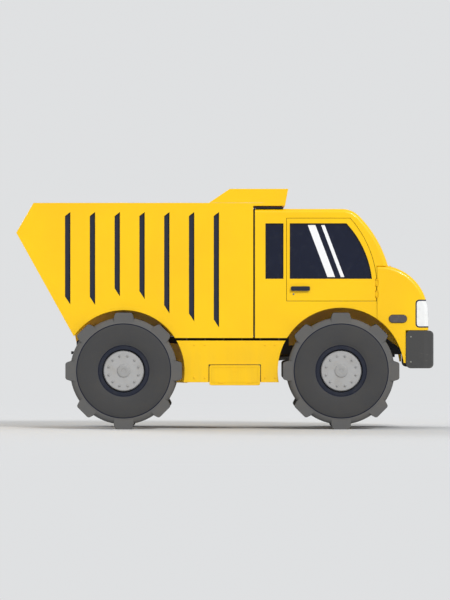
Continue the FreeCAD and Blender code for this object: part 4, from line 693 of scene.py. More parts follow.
# Chassis side panels
# Folded sheet between the wheels, hung from the rails on outriggers, with a bolted step box in each.
# Hexagon bolts hold the sheet, and a splash shield closes it off towards the rear wheel.
yellow = body_enamel("cab_yellow")
dress("side_panel_left side_panel_right side_boxes", yellow, 0.005)
panel_y, panel_xs, panel_zs = 1.190, (-0.43, -0.28, 0.56, 0.70), (0.72, 1.18)
shield_radius, shield_ys, shield_corners = 0.905, (0.822, 0.826), [(-1.00, 1.225), (-1.00, 0.660)]
shield = [(axle_xs[0] + c, axle_z + s) for c, s in circle(shield_radius, 360 / 4.4, -11, 28.6)] + shield_corners
for side, hand in sides:
    bolts("panel_bolts_" + hand, [((x, side * panel_y, z), (0, side, 0)) for x in panel_xs for z in panel_zs],
          "chassis", yellow, 1.1, "yellow_paint")
    near_y, far_y = [side * y for y in shield_ys]
    mesh_piece("splash_shield_" + hand, lambda shape: slab(shape, shield, near_y, far_y, "XZ", 0.001, 1),
               "chassis", yellow)


# Cab shell
# Pressed and spot-welded steel: two sides with the door openings, a raked roof, a back wall and a
# floor that steps over the frame. The floor is lined with a rubber mat.
dress("cab_side_left cab_side_right cab_roof cab_back", yellow, 0.004)
cab_floor_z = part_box("seats")[0].z
dress("cab_floor", body_enamel("floor_yellow", lambda paint, x, y, z: z > cab_floor_z - 0.003,
                               coats=("1A1A1C", "2C2B2A")), 0.002)


# Windows and their gaskets
# Tinted safety glass, 8 mm thick, pressed into black rubber gaskets. Two slanted white bands on each
# door window are a painted reflection, laid opaque into the glass's colour.
def moulded(name, colour, rough, scale=300.0):
    """Moulded plastic with a fine stipple, less dull where hands and boots rub it."""
    return stained(name, colour, "55555A", 0.2, (scale, 3.0), (4.0, 4.0, 0.5, 0.75), (rough, 0.15, -0.5), 0.0005,
                   fixed={"Specular IOR Level": 0.3})


tube_tree = growing_tree("tube_along", [("Radius", "Float")], {
    "curve": ("GeometryNodeMeshToCurve",),
    "circle": ("GeometryNodeCurvePrimitiveCircle", {}, {"Resolution": 10}),
    "sweep": ("GeometryNodeCurveToMesh", {}, {"Fill Caps": True})},
    "in.0 > curve.0, in.Radius > circle.Radius, curve.0 > sweep.0, circle.0 > sweep.1", "sweep.0")
gasket = moulded("black_rubber", "17191E", 0.55, 120.0)


def beads(name, loops, radius, body="chassis", material=gasket, slot="dark_plastic"):
    """Round beads along loops, rubber ones unless a material is given."""
    return grown(name, loops, tube_tree, body, slot, 60, Radius=radius, Finish=material)


def outline(node, keep, gap=0.004):
    """The longest outline of the faces that keep(normal, middle) picks, with points gap apart or more."""
    copy = bmesh.new()
    node_mesh(copy, node)
    kept = {f for f in copy.faces if keep(f.normal, f.calc_center_median())}
    rim = {}
    for edge in copy.edges:
        if sum(f in kept for f in edge.link_faces) == 1:
            for v in edge.verts:
                rim.setdefault(v, []).append(edge.other_vert(v))
    loops = []
    while rim:
        here, loop = next(iter(rim)), []
        while here:
            loop.append(here.co.copy())
            here = next((v for v in reversed(rim.pop(here)) if v in rim), None)
        loops.append(loop)
    copy.free()
    longest = max(loops, key=lambda loop: sum((b - a).length for a, b in zip(loop, loop[1:])))
    spots = longest[:1]
    for p in longest[1:]:
        if (p - spots[-1]).length > gap:
            spots.append(p)
    return spots


glint_lean, glint_bands, glint_low, glint_high = 0.3780, ((1.159, 1.266), (1.346, 1.396)), 2.129, 2.857


def tinted_glass(name, painted_glint=False):
    glass = Finish(name)
    x, _, z = glass.axes()
    dust = glass.patches(14.0, 5.0, 0.50, 0.80)
    shade, alpha, rough = glass.mix(dust * 0.06, "10172E", "6F747C"), dust * 0.06 + 0.88, dust * 0.12 + 0.06
    # Painted reflection: two slanted white bands, made opaque, stand for a glint on the door glass.
    if painted_glint:
        lean = x + (z - glint_high) * glint_lean
        glint_masks = [(lean > low) * (lean < high) for low, high in glint_bands]
        glint_mask = glint_masks[0].most(glint_masks[1]) * (z > glint_low) * (z < glint_high)
        shade = glass.mix(glint_mask, shade, glass.mix(dust * 0.1, "F6F7F8", "C9C9C6"))
        alpha, rough = alpha.most(glint_mask), rough + glint_mask * 0.2
    return glass.shade(shade, rough, glass.noise(1.6, 2.0), 0.0003, {"Specular IOR Level": 0.3}, Alpha=alpha)


def outer_side(side):
    return lambda normal, middle: normal.y * side > 0.9 and abs(middle.y) > 1.166


dress("cab_glass", tinted_glass("tinted_glass"), 0.001)
dress("door_glass_left door_glass_right", tinted_glass("door_glass", True), 0.001)
gasket_radius = 0.007
window_faces = [lambda normal, middle: normal.x > 0.15 and normal.z > 0.02 and abs(normal.y) < 0.1,
                outer_side(-1), outer_side(1)]
beads("window_gaskets", [(outline("cab_glass", keep), "closed") for keep in window_faces], gasket_radius)
for side, hand in sides:
    beads("door_gasket_" + hand, [(outline("door_glass_" + hand, outer_side(side)), "closed")], gasket_radius,
          "door_" + hand)


# Doors
# Pressed steel leaves on strap hinges, closing on a rubber seal, with a cast handle that pulls out
# and a key barrel below it. A moulded card clips to the inside, with an armrest and a window winder.
def box(left, low, right, high):
    """The outline of a rectangle."""
    return [(left, low), (right, low), (right, high), (left, high)]


dress("door_left door_right", yellow)
dress("door_handle_left door_handle_right", moulded("handle_black", "1B2130", 0.4), 0.004)
seal_y, seal_radius, seal_step, door_inner_y, card_thick = 1.1115, 0.008, 0.012, 1.120, 0.012
key_x, key_z, winder_z, card_top_z = 0.960, 1.890, 1.960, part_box("door_glass_left")[0].z - 0.030
trim_black = moulded("door_trim", "26282E", 0.55)
for side, hand in sides:
    def inner_side(normal, middle):
        return normal.y * side < -0.9 and abs(middle.y) < door_inner_y + 0.002

    inner = outline("door_" + hand, inner_side, seal_step)
    beads("door_seal_" + hand, [([(p.x, side * seal_y, p.z) for p in inner], "closed")], seal_radius)

    def key_barrel(shape):
        profile = [(-0.003, 0.013), (0.003, 0.013), (0.005, 0.011), (0.005, 0.006), (0.0035, 0.0045)]
        lathe(shape, [(side * y, r) for y, r in profile], (key_x, side * body_side_y, key_z), "Y", 24)

    def card(shape):
        for edges, near, far, bevel in (
                (box(0.930, 1.845, 2.070, card_top_z), 0.0, card_thick, 0.004),
                ([(0.960, 1.870), (1.560, 1.870), (1.530, 1.955), (0.990, 1.955)], card_thick, 0.030, 0.006),
                ([(1.180, 1.990), (1.660, 1.990), (1.700, 2.028), (1.140, 2.028)], card_thick, 0.065, 0.010),
                ([(1.845, 1.951), (1.985, 1.954), (1.985, 1.966), (1.845, 1.969)], 0.022, 0.029, 0.002)):
            slab(shape, edges, side * (door_inner_y - near), side * (door_inner_y - far), "XZ", bevel)
        for x, foot, reach, radius in ((1.855, 0.010, 0.032, 0.022), (1.975, 0.026, 0.056, 0.012)):
            profile = [(foot, radius), (reach - 0.004, radius * 0.9), (reach, radius * 0.6)]
            lathe(shape, [(-side * y, r) for y, r in profile], (x, side * door_inner_y, winder_z), "Y", 24)

    mesh_piece("key_barrel_" + hand, key_barrel, "door_" + hand, zinc)
    mesh_piece("door_card_" + hand, card, "door_" + hand, trim_black)


# Weather strips and rest pads
# Black rubber strips on the cab's rear edges stop a few millimetres short of the bed, and pads on
# its roof take up the shake of the protector above them.
def strips(shape):
    for side in (-1, 1):
        for edges, bevel in ((box(0.402, 1.290, 0.421, 3.114), 0.004), (box(0.424, 3.083, 0.818, 3.114), 0.006)):
            slab(shape, edges, side * 1.128, side * 1.192, "XZ", bevel)


mesh_piece("weather_strips", strips, "chassis", gasket)


# Wipers
# Two black-coated arms on spindles through the cowl, each held by a plated nut. The blade at the end
# of each presses a rubber strip along the windscreen.
def surface_spot(node, start, way, lift=0.0):
    """Where a ray from start along way meets a node, raised by lift, and the normal there."""
    shape = bmesh.new()
    shape.from_mesh(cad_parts[node].data)
    hit, normal, _, _ = BVHTree.FromBMesh(shape).ray_cast(Vector(start), Vector(way))
    shape.free()
    return hit + normal * lift, normal


def on_screen(spots, lift):
    """(y, z) spots as points lift metres off the windscreen's outer face."""
    return [surface_spot("cab_glass", (4.0, y, z), (-1, 0, 0), lift)[0] for y, z in spots]


arms, blades, rubbers, spindles = [], [], [], []
wiper_ys, blade_half = (0.52, -0.42), Vector((0.143, 0.2184))
for y in wiper_ys:
    foot, knee, tip = (y, 2.335), (y + 0.05, 2.42), Vector((y + 0.26, 2.66))
    along = [tip + blade_half * t for t in (-1, -0.5, 0, 0.5, 1)]
    arms.append((on_screen([foot], 0.010) + on_screen([knee, tip], 0.018), "open"))
    blades.append((on_screen(along, 0.011), "open"))
    rubbers.append((on_screen(along, 0.004), "open"))
    spindles.append((on_screen([foot], 0.0)[0], (0.6, 0, 0.8)))
wiper_black = moulded("wiper_black", "1A1C20", 0.45)
beads("wiper_arms", arms, 0.005, material=wiper_black)
beads("wiper_blades", blades, 0.004, material=wiper_black)
beads("wiper_rubbers", rubbers, 0.0035)
bolts("wiper_spindles", spindles, "chassis", zinc, 1.4, "dark_plastic")


# Nose, bonnet and grille
# The nose is rolled from one sheet, with the bonnet lid let into its top. Its front opening is closed
# by moulded louvres with a woven wire screen behind them. A dark trim band frames each headlamp.
lamp_low, lamp_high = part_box("headlamps")
lamp_inner_y, trim_band, lamp_corner = 0.900, 0.019, 0.055
lamp_z, lamp_half = (lamp_low.z + lamp_high.z) / 2, (lamp_high.z - lamp_low.z) / 2


def lamp_frame(paint, x, y, z):
    """1 in a round-cornered band about the headlamp opening, on the nose's side and on its front."""
    up = (abs(z - lamp_z) - (lamp_half + trim_band - lamp_corner)).most(0.0)
    back = ((lamp_low.x - trim_band + lamp_corner) - x).most(0.0)
    inward = ((lamp_inner_y - trim_band + lamp_corner) - y).most(0.0)
    return (up * up + back * back + inward * inward) ** 0.5 < lamp_corner


dress("nose_shell", body_enamel("nose_yellow", lamp_frame))
dress("bonnet_lid", yellow)
dress("grille", moulded("grille_black", "1F2430", 0.45), 0.0015)
grille_low, grille_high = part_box("grille")
mesh_pitch, wire_radius, wire_x = 0.020, 0.0015, grille_low.x - 0.006
ys, zs = (grille_low.y, grille_high.y), (grille_low.z, grille_high.z)
columns, rows = [int((high - low) / mesh_pitch) + 1 for low, high in (ys, zs)]
wires = [([(wire_x, ys[0] + k * mesh_pitch, z) for z in zs], "open") for k in range(columns)]
wires += [([(wire_x - 2 * wire_radius, y, zs[0] + k * mesh_pitch) for y in ys], "open") for k in range(rows)]
beads("grille_screen", wires, wire_radius, material=zinc)


# Wheel-arch aprons
# Flat sheets behind the front wheels that shut the engine bay off from road dirt. Each is screwed to
# the firewall and to the nose, and stays inboard of the wheel at full lock.
apron_y, apron_thick = 0.452, 0.004
apron_outline = [(2.232, 1.300), (2.480, 1.120), (2.560, 1.120), (2.600, 1.385), (2.600, 1.900), (2.232, 1.950)]
screw_spots = (2.26, 1.34), (2.26, 1.62), (2.26, 1.90), (2.56, 1.20), (2.57, 1.54), (2.57, 1.86)
for side, hand in sides:
    near_y, far_y = side * apron_y, side * (apron_y + apron_thick)
    mesh_piece("arch_apron_" + hand, lambda shape: slab(shape, apron_outline, near_y, far_y, "XZ", 0.001, 1),
               "chassis", yellow)
    bolts("apron_screws_" + hand, [((x, far_y, z), (0, side, 0)) for x, z in screw_spots], "chassis", zinc, 0.9,
          "yellow_paint")


# Lamps
# Moulded lenses on dark backs: headlamps round the nose's corners, marker lamps low on the nose
# sides in rubber bezels, and red lamps at the tail.
bowl_y, bowl_radius, bulb_radius, marker_y, bezel_radius = 1.045, 0.120, 0.020, 1.203, 0.006


def lens_moulding(name, colour, pitch, depth, corner=0.0):
    """A moulded lens with flutes across it and a little dust. Its corners are masked in black."""
    lens = Finish(name)
    x, y, z = lens.axes()
    dust = lens.patches(16.0, 4.0, 0.5, 0.8)
    flutes = z.ridges(pitch)
    shade = lens.mix(dust * 0.15, colour, "A39C8E")
    if corner:
        out, high = abs(y) - bowl_y, z - lamp_z
        bowl = (out * out + high * high) ** 0.5
        shade = lens.mix((1.0 - lens.ramp(abs(bowl - bowl_radius), 0.003, 0.006)) * 0.55, shade, "50565F")
        shade = lens.mix((1.0 - lens.ramp(bowl, bulb_radius, bulb_radius + 0.006)) * 0.45, shade, "6A6E74")
        up = (abs(z - lamp_z) - (lamp_half - corner)).most(0.0)
        back = (((lamp_low.x + corner) - x).least((lamp_inner_y + corner) - abs(y))).most(0.0)
        shade = lens.mix((up * up + back * back) ** 0.5 > corner - 0.001, shade, "1B2238")
    return lens.shade(shade, dust * 0.2 + (flutes * 0.05 + 0.12), flutes, depth, {"Coat Weight": 0.3})


dress("headlamps", lens_moulding("headlamp_lens", "F0F1F0", 0.022, 0.0008, lamp_corner - trim_band), 0.004)
dress("marker_lamps", lens_moulding("marker_lens", "4C4648", 0.008, 0.0010), 0.004)
dress("tail_lamps", lens_moulding("tail_lens", "A01414", 0.009, 0.0010))
marker_low, marker_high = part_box("marker_lamps")
marker_z, marker_radius = (marker_low.z + marker_high.z) / 2, (marker_high.z - marker_low.z) / 2
rims = [([(centre + c, side * marker_y, marker_z + s)
          for centre, start in ((marker_high.x - marker_radius, -90), (marker_low.x + marker_radius, 90))
          for c, s in circle(marker_radius, 24, start, start + 195)], "closed") for side in (-1, 1)]
beads("marker_bezels", rims, bezel_radius)


# Bumper
# A deep bumper in dark grey powder coat, held by bolts through its ends. Rubber rings line the two
# tow holes in its front.
def powder_coat():
    """Powder coat: a fine leather-like texture, and paler scuffs along what is brushed against."""
    coat = Finish("bumper_coat")
    grain, cloud = coat.noise(420.0, 2.0), coat.noise(2.2, 5.0)
    low_edge = (1.0 - coat.ramp(coat.axes()[2], 0.852, 0.90)) * 0.12
    scuffs = coat.ramp(coat.noise(7.0, 6.0, (1.0, 1.0, 5.0)) + low_edge, 0.62, 0.74) * 0.25
    shade = coat.mix(scuffs, coat.mix(cloud * 0.2, "424242", "55524F"), "77736C")
    return coat.shade(shade, scuffs * 0.2 + (grain * 0.1 + 0.52), grain, 0.0007, {"Specular IOR Level": 0.3})


dress("bumper", powder_coat(), 0.006)
bumper_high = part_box("bumper")[1]
tow_x, tow_y, tow_z, tow_radius, tow_bead = bumper_high.x - 0.009, 0.640, 1.110, 0.045, 0.007
end_bolt_x, end_bolt_zs = 2.60, (0.94, 1.29)
rings = [([(tow_x, side * tow_y + c, tow_z + s) for c, s in circle(tow_radius, 24)], "closed")
         for side in (-1, 1)]
beads("tow_rings", rings, tow_bead, slot="bumper_paint")
end_bolts = [((end_bolt_x, side * bumper_high.y, z), (0, side, 0)) for side in (-1, 1) for z in end_bolt_zs]
bolts("bumper_bolts", end_bolts, "chassis", zinc, 1.0, "bumper_paint")


# Engine bay
# What the open bonnet shows: a brazed radiator that stands on the rails, the rocker cover, belt and
# pressed fan on the engine's front, and a canister air cleaner, all joined by moulded rubber hoses.
engine_top, engine_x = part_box("engine_block")[1].z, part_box("engine_block")[1].x
radiator_xs, radiator_half, radiator_low, radiator_top, tank_depth = (2.600, 2.655), 0.380, 1.290, 1.860, 0.070
fin_pitch, fan_z, fan_reach, crank_z, idler, cover_height = 0.020, 1.480, 0.165, 1.220, (0.170, 1.430), 0.070


def radiator_metal():
    """Soldered tubes and fin rows, with painted highlights on their edges, painted shade between them, and dust
    in patches.
    """
    core = Finish("radiator_core")
    fin_relief_and_shade = core.axes()[2].ridges(0.008)
    dust = core.patches(9.0, 4.0, 0.45, 0.75)
    # Painted light: the raised fin rows are painted pale as highlights and the grooves between them dark as
    # shade.
    shade = core.mix(dust * 0.3, core.mix(fin_relief_and_shade * 2.0, "4C4F52", "16181B"), "7A7060")
    return core.shade(shade, dust * 0.2 + 0.42, fin_relief_and_shade * -1.0, 0.0020, {"Metallic": 0.5})


def radiator_core(shape):
    x0, x1 = radiator_xs
    low, high = radiator_low + 0.02, radiator_top - 0.02
    slab(shape, box(x0 + 0.008, low, x1 - 0.008, high), 0.004 - radiator_half, radiator_half - 0.004)
    for k in range(-18, 19):
        slab(shape, box(x0 + 0.003, low, x1 - 0.003, high), fin_pitch * k - 0.002, fin_pitch * k + 0.002)


def radiator_tanks(shape):
    x0, x1 = radiator_xs
    half = radiator_half
    for low in (radiator_low + 0.010, radiator_top - tank_depth):
        slab(shape, box(-half, low, half, low + tank_depth), x0 - 0.010, x1 + 0.010, "YZ", 0.012)
    for side in (-1, 1):
        slab(shape, box(x0 - 0.004, radiator_low, x1 + 0.004, radiator_top - 0.01), side * half,
             side * (half + 0.012), "XZ", 0.003)
        slab(shape, box(x0 - 0.010, radiator_low, x1 + 0.010, radiator_low + 0.012), side * (half - 0.03),
             side * (half + 0.035), "XZ", 0.003)
    lathe(shape, [(-0.004, 0.026), (0.014, 0.026), (0.014, 0.034), (0.026, 0.034), (0.030, 0.028)],
          ((x0 + x1) / 2, 0.12, radiator_top), "Z", 24)


def engine_front(shape):
    """The rocker cover on the block, the timing cover before it, and the belt's grooved pulleys."""
    slab(shape, box(2.246, -0.215, 2.390, 0.215), engine_top, engine_top + cover_height, "XY", 0.016, 3)
    lathe(shape, [(0.068, 0.030), (0.082, 0.030), (0.088, 0.024)], (2.32, 0.17, engine_top), "Z", 20)
    right_half = [(0.13, 1.110), (0.23, 1.360), (0.23, 1.540), (0.15, 1.615)]
    slab(shape, [(-0.13, 1.110)] + right_half + [(-y, z) for y, z in right_half[:0:-1]], engine_x - 0.001,
         engine_x + 0.012, "YZ", 0.004)
    for y, z, radius in ((0.0, crank_z, 0.080), (0.0, fan_z, 0.062), (*idler, 0.040)):
        groove = [(0.011, 0.022), (0.022, 0.022), (0.022, radius), (0.026, radius), (0.031, radius - 0.012),
                  (0.036, radius), (0.040, radius), (0.040, 0.020), (0.044, 0.016)]
        lathe(shape, groove, (engine_x, y, z), "X", 40)


def fan(shape):
    """Six pressed blades on a hub, each set at 28 degrees."""
    middle, pitch = Vector((engine_x + 0.072, 0, fan_z)), math.radians(28)
    lathe(shape, [(-0.028, 0.030), (-0.010, 0.046), (0.012, 0.046), (0.020, 0.034)], middle, "X", 32)
    for c, s in circle(1.0, 6, 12, 372):
        out = Vector((0, c, s))
        along = Vector((0, -s, c)) * math.cos(pitch) + Vector((math.sin(pitch), 0, 0))
        blade = slab(shape, [(0.036, -0.018), (0.10, -0.038), (fan_reach, -0.044), (fan_reach, 0.036),
                             (0.10, 0.034), (0.036, 0.020)], -0.0015, 0.0015, "XY", 0.0008, 1)
        for v in blade:
            v.co = middle + out * v.co.x + along * v.co.y + out.cross(along) * v.co.z


def air_cleaner(shape):
    x, z, radius = 2.335, engine_top + 0.165, 0.078
    lathe(shape, [(-0.185, 0.034), (-0.160, 0.034), (-0.156, 0.066), (-0.146, radius), (0.020, radius),
                  (0.024, radius + 0.005), (0.036, radius + 0.005), (0.040, radius), (0.146, radius),
                  (0.156, 0.066), (0.160, 0.034), (0.185, 0.034)], (x, -0.10, z), "Y", 40)
    for y in (-0.20, -0.02):
        slab(shape, [(x - 0.055, engine_top + 0.066), (x + 0.050, engine_top + 0.066), (x + 0.062, z - 0.045),
                     (x + 0.030, z - 0.074), (x - 0.030, z - 0.074), (x - 0.062, z - 0.045)],
             y - 0.012, y + 0.012, "XZ", 0.002)


belt_wheels = (0.0, crank_z, 0.077), (0.0, fan_z, 0.059), (*idler, 0.037)
belt_spots = [Vector((y + c, z + s)) for y, z, radius in belt_wheels for c, s in circle(radius, 36)]
belt = [(engine_x + 0.031, *belt_spots[k]) for k in convex_hull_2d(belt_spots)]
hoses = [(interpolate_bezier(*[Vector(knot) for knot in knots], 16), "open") for knots in (
    ((2.335, 0.080, 1.805), (2.335, 0.190, 1.805), (2.345, 0.255, 1.800), (2.345, 0.255, 1.645)),
    ((2.335, -0.280, 1.805), (2.335, -0.400, 1.805), (2.420, -0.410, 1.790), (2.555, -0.410, 1.740)),
    ((2.594, -0.250, 1.825), (2.500, -0.250, 1.825), (2.500, -0.150, 1.560), (2.411, -0.150, 1.540)),
    ((2.594, 0.250, 1.350), (2.520, 0.250, 1.350), (2.500, 0.140, 1.350), (2.411, 0.140, 1.330)))]
engine_black = enamel("engine_black", "2B2E31", 0.45)
for name, maker, material in (("radiator_core", radiator_core, radiator_metal()),
                              ("radiator_tanks", radiator_tanks, engine_black),
                              ("engine_covers", engine_front, raw_iron), ("fan", fan, engine_black),
                              ("air_cleaner", air_cleaner, engine_black)):
    mesh_piece(name, maker, "chassis", material)
for name, loops, radius in (("fan_belt", [(belt, "closed")], 0.0055), ("intake_hoses", hoses[:2], 0.031),
                            ("coolant_hoses", hoses[2:], 0.020)):
    beads(name, loops, radius)
cover_xs, cover_ys = (2.272, 2.366), (-0.18, -0.06, 0.06)
bolts("cover_bolts", [((x, y, engine_top + cover_height), (0, 0, 1)) for x in cover_xs for y in cover_ys],
      "chassis", zinc, 0.8, "engine_iron")


# Step boxes
# Welded sheet boxes let into the side panels on a rubber strip. A pressed lid closes each, on two
# barrel hinges and a paddle latch.
box_low, box_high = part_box("side_boxes")
strip_gap, strip_radius, strip_low, lid_inset, lid_rise, paddle_rise = 0.004, 0.007, 0.664, 0.034, 0.003, 0.009
strip_xs, strip_top = (box_low.x - strip_gap, box_high.x + strip_gap), box_high.z + strip_gap
strip_spots = [(strip_xs[k], z) for k, z in ((0, strip_low), (0, strip_top), (1, strip_top), (1, strip_low))]
beads("box_strips", [([(x, side * (panel_y - 0.001), z) for x, z in strip_spots], "open") for side in (-1, 1)],
      strip_radius)
for side, hand in sides:
    def lid(shape):
        left, right = box_low.x + lid_inset, box_high.x - lid_inset
        low, high = box_low.z + lid_inset, box_high.z - lid_inset
        middle, seat = (left + right) / 2, side * (box_high.y - 0.002)
        slab(shape, box(left, low, right, high), seat, side * (box_high.y + lid_rise), "XZ", 0.0025)
        slab(shape, [(middle - 0.055, high - 0.062), (middle + 0.055, high - 0.062),
                     (middle + 0.045, high - 0.020), (middle - 0.045, high - 0.020)],
             seat, side * (box_high.y + paddle_rise), "XZ", 0.003)
        for x in (left + 0.10, right - 0.16):
            centre = (x, side * (box_high.y + 0.004), low + 0.004)
            lathe(shape, [(0.0, 0.0065), (0.060, 0.0065)], centre, "X", 16)

    mesh_piece("box_lid_" + hand, lid, "chassis", yellow)


# Latches, tail lamps' frames and reflectors
# Rubber pull latches hold the bonnet lid down, rubber frames seal the tail lamps' lenses, and round
# reflectors in plated rings are riveted to the tailgate's side ribs.
def on_surface(verts, spot, normal):
    """Turns a form built about the origin onto a spot, its front along the normal and its x to the left."""
    across = Vector((0, 1, 0))
    turn = Matrix((across.cross(normal).cross(normal) * -1, normal.cross(across), normal)).transposed()
    for v in verts:
        v.co = spot + turn @ v.co


latch_y, latch_x = 0.52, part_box("bonnet_lid")[1].x + 0.022
for side, hand in sides:
    def pull(shape):
        slab(shape, box(-0.022, -0.022, 0.022, 0.020), -0.002, 0.005, "XY", 0.002)
        slab(shape, box(-0.012, -0.015, 0.012, 0.055), 0.005, 0.012, "XY", 0.0025)
        on_surface(shape.verts, *surface_spot("nose_shell", (latch_x, side * latch_y, 4.0), (0, 0, -1)))

    mesh_piece("bonnet_latch_" + hand, pull, "chassis", gasket)
tail_low, tail_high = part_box("tail_lamps")
tail_width, frame_gap, frame_radius = 0.080, 0.003, 0.004
tail_frame = box(tail_high.y + frame_gap, tail_low.z - frame_gap, tail_high.y - tail_width - frame_gap,
                 tail_high.z + frame_gap)
frames = [([(tail_low.x + 0.010, side * y, z) for y, z in tail_frame], "closed") for side in (-1, 1)]
beads("tail_lamp_frames", frames, frame_radius)
reflector_y, reflector_z, reflector_radius, rings = 1.074, 1.900, 0.022, []


def reflectors(shape):
    """Two lenses. Each one's ring is noted in rings."""
    for side in (-1, 1):
        spot, normal = surface_spot("tailgate", (-4.0, side * reflector_y, reflector_z), (1, 0, 0))
        before = set(shape.verts)
        lathe(shape, [(-0.002, reflector_radius), (0.003, reflector_radius), (0.005, reflector_radius * 0.8),
                      (0.006, 0.0)], (0, 0, 0), "Z", 32)
        on_surface([v for v in shape.verts if v not in before], spot, normal)
        across = Vector((0, 1, 0))
        rings.append(([spot + normal * 0.003 + across * c + normal.cross(across) * s
                       for c, s in circle(reflector_radius, 24)], "closed"))


red_lens = lens_moulding("reflector_lens", "A81616", 0.006, 0.0008)
mesh_piece("reflectors", reflectors, "tailgate", red_lens)
beads("reflector_rings", rings, 0.003, "tailgate", zinc, "yellow_paint")


# Seats
# Two seats on pressed steel boxes and floor rails: foam cushions in woven cloth, sewn into channels
# and piped round their edges, and a moulded board behind each back.
seat_low, seat_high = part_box("seats")
cushion_x, cushion_z, back_x = (1.060, 1.560), (2.002, 2.140), (0.930, 1.058)
seat_middle_y, seat_half = 0.520, 0.250
pad_voxel, pad_frames, pad_swell, pad_margin, board_half = 0.010, 20, 0.024, 0.004, 0.355
channels, channel_depth, channel_width = (-0.15, -0.05, 0.05, 0.15), 0.011, 0.010
piping_inset, piping_power, piping_radius = 0.026, 0.30, 0.0045


def woven(name, first, second):
    """Plain-woven cloth of two yarns, 3 mm apart, paler where it is sat on."""
    cloth = Finish(name)
    x, y, z = cloth.axes()
    weave = y.ridges(0.003) + (x + z).ridges(0.003)
    yarn = cloth.noise(900.0, 2.0)
    shade = cloth.mix(cloth.patches(5.0, 3.0, 0.45, 0.75) * 0.3, cloth.mix(weave, first, second), "6C6F78")
    return cloth.shade(shade, yarn * 0.1 + 0.80, weave + yarn * 0.3, 0.0007, {"Sheen Weight": 0.25})


def pad(name, low, high, face):
    """A sewn foam pad between two corners. face is the axis that its crown looks along."""
    low, high = Vector(low), Vector(high)
    middle, half = (low + high) / 2, (high - low) / 2 - Vector([pad_margin] * 3)
    across = [k for k in range(3) if k != face]

    def foam_block(shape):
        bmesh.ops.create_cube(shape, size=2.0)
        bmesh.ops.subdivide_edges(shape, edges=shape.edges, cuts=13, use_grid_fill=True)
        for v in shape.verts:
            u, w = [v.co[k] for k in across]
            spot = Vector(v.co[k] * half[k] for k in range(3))
            spot[face] -= (0.3 + (u ** 4 + w ** 4) * 0.35) * pad_swell * v.co[face]
            for k, other in zip(across, (w, u)):
                spot[k] -= math.copysign(0.012 * (1 - other * other) * v.co[k] ** 4, v.co[k])
            v.co = middle + spot

    mesh = mesh_of(name, foam_block)
    mesh.materials.append(seat_cloth)
    cushion = stand(name, mesh)
    rest = BVHTree.FromPolygons([v.co.copy() for v in mesh.vertices], [list(p.vertices) for p in mesh.polygons])
    bpy.context.view_layer.objects.active = cushion
    put(cushion.modifiers.new("even_grid", "REMESH"), mode="VOXEL", voxel_size=pad_voxel)
    bpy.ops.object.modifier_apply(modifier="even_grid")
    foam = cushion.modifiers.new("foam", "CLOTH")
    put(foam.settings, use_pressure=True, uniform_pressure_force=4.0).effector_weights.gravity = 0.0
    put(foam.point_cache, frame_start=1, frame_end=pad_frames)
    for frame_number in range(1, pad_frames + 1):
        scene.frame_set(frame_number)
    bpy.ops.object.modifier_apply(modifier="foam")
    put(cushion.modifiers.new("calm", "SMOOTH"), factor=0.5, iterations=10)
    bpy.ops.object.modifier_apply(modifier="calm")
    scene.frame_set(1)
    for v in cushion.data.vertices:
        spot, _, _, distance = rest.find_nearest(v.co)
        if distance > pad_swell * 0.9:
            v.co = spot + (v.co - spot) * (pad_swell * 0.9 / distance)
    for v in cushion.data.vertices:
        v.co = Vector(min(max(v.co[k], low[k]), high[k]) for k in range(3))
        if v.co[face] > middle[face]:
            inside = min(1.0, (half[1] - abs(v.co.y - middle.y)) / 0.03)
            for y in channels:
                away = (v.co.y - middle.y - y) / channel_width
                v.co[face] -= channel_depth * math.exp(-away ** 2) * max(inside, 0.0)
    cushion.data.shade_smooth()
    put(cushion.modifiers.new("finer", "SUBSURF"), levels=1, render_levels=1)
    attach(cushion, "chassis")
    return cushion


def piping(name, cushion, low, high, face):
    """Corded seams round a pad's crown, laid on its surface."""
    shape = bmesh.new()
    shape.from_object(cushion, bpy.context.evaluated_depsgraph_get())
    tree = BVHTree.FromBMesh(shape)
    shape.free()
    a, b = [k for k in range(3) if k != face]
    loop, way = [], Vector((0.0, 0.0, 0.0))
    way[face] = -1.0
    for c, s in circle(1.0, 64):
        start = Vector((0.0, 0.0, 0.0))
        for k, share in ((a, c), (b, s)):
            reach = (high[k] - low[k]) / 2 - piping_inset
            start[k] = (low[k] + high[k]) / 2 + math.copysign(abs(share) ** piping_power, share) * reach
        start[face] = high[face] + 0.2
        hit = tree.ray_cast(start, way)[0]
        if hit:
            loop.append(hit)
    beads(name, [(loop, "closed")], piping_radius, "chassis", seat_piping, "seat_fabric")


def seat_box(shape):
    """The steel box, the board behind the back cushion and the two rails under a seat."""
    slab(shape, [(y0 + 0.09, seat_low.z), (y1 - 0.09, seat_low.z), (y1 - 0.06, cushion_z[0]),
                 (y0 + 0.06, cushion_z[0])], cushion_x[0] + 0.09, cushion_x[1] - 0.09, "YZ", 0.006)
    board = [(centre_y + (seat_half - 0.03) * u, (cushion_z[0] + seat_high.z) / 2 + board_half * w)
             for u, w in ((1, -0.85), (1, 0.82), (0.86, 0.96), (0.6, 1), (-0.6, 1), (-0.86, 0.96), (-1, 0.82),
                          (-1, -0.85), (-0.85, -0.96), (0.85, -0.96))]
    slab(shape, board, back_x[0], back_x[0] + 0.014, "YZ", 0.005)
    for rail_y in (y0 + 0.11, y1 - 0.11):
        slab(shape, box(cushion_x[0] + 0.05, seat_low.z, cushion_x[1] - 0.05, seat_low.z + 0.02), rail_y - 0.018,
             rail_y + 0.018, "XZ", 0.003)


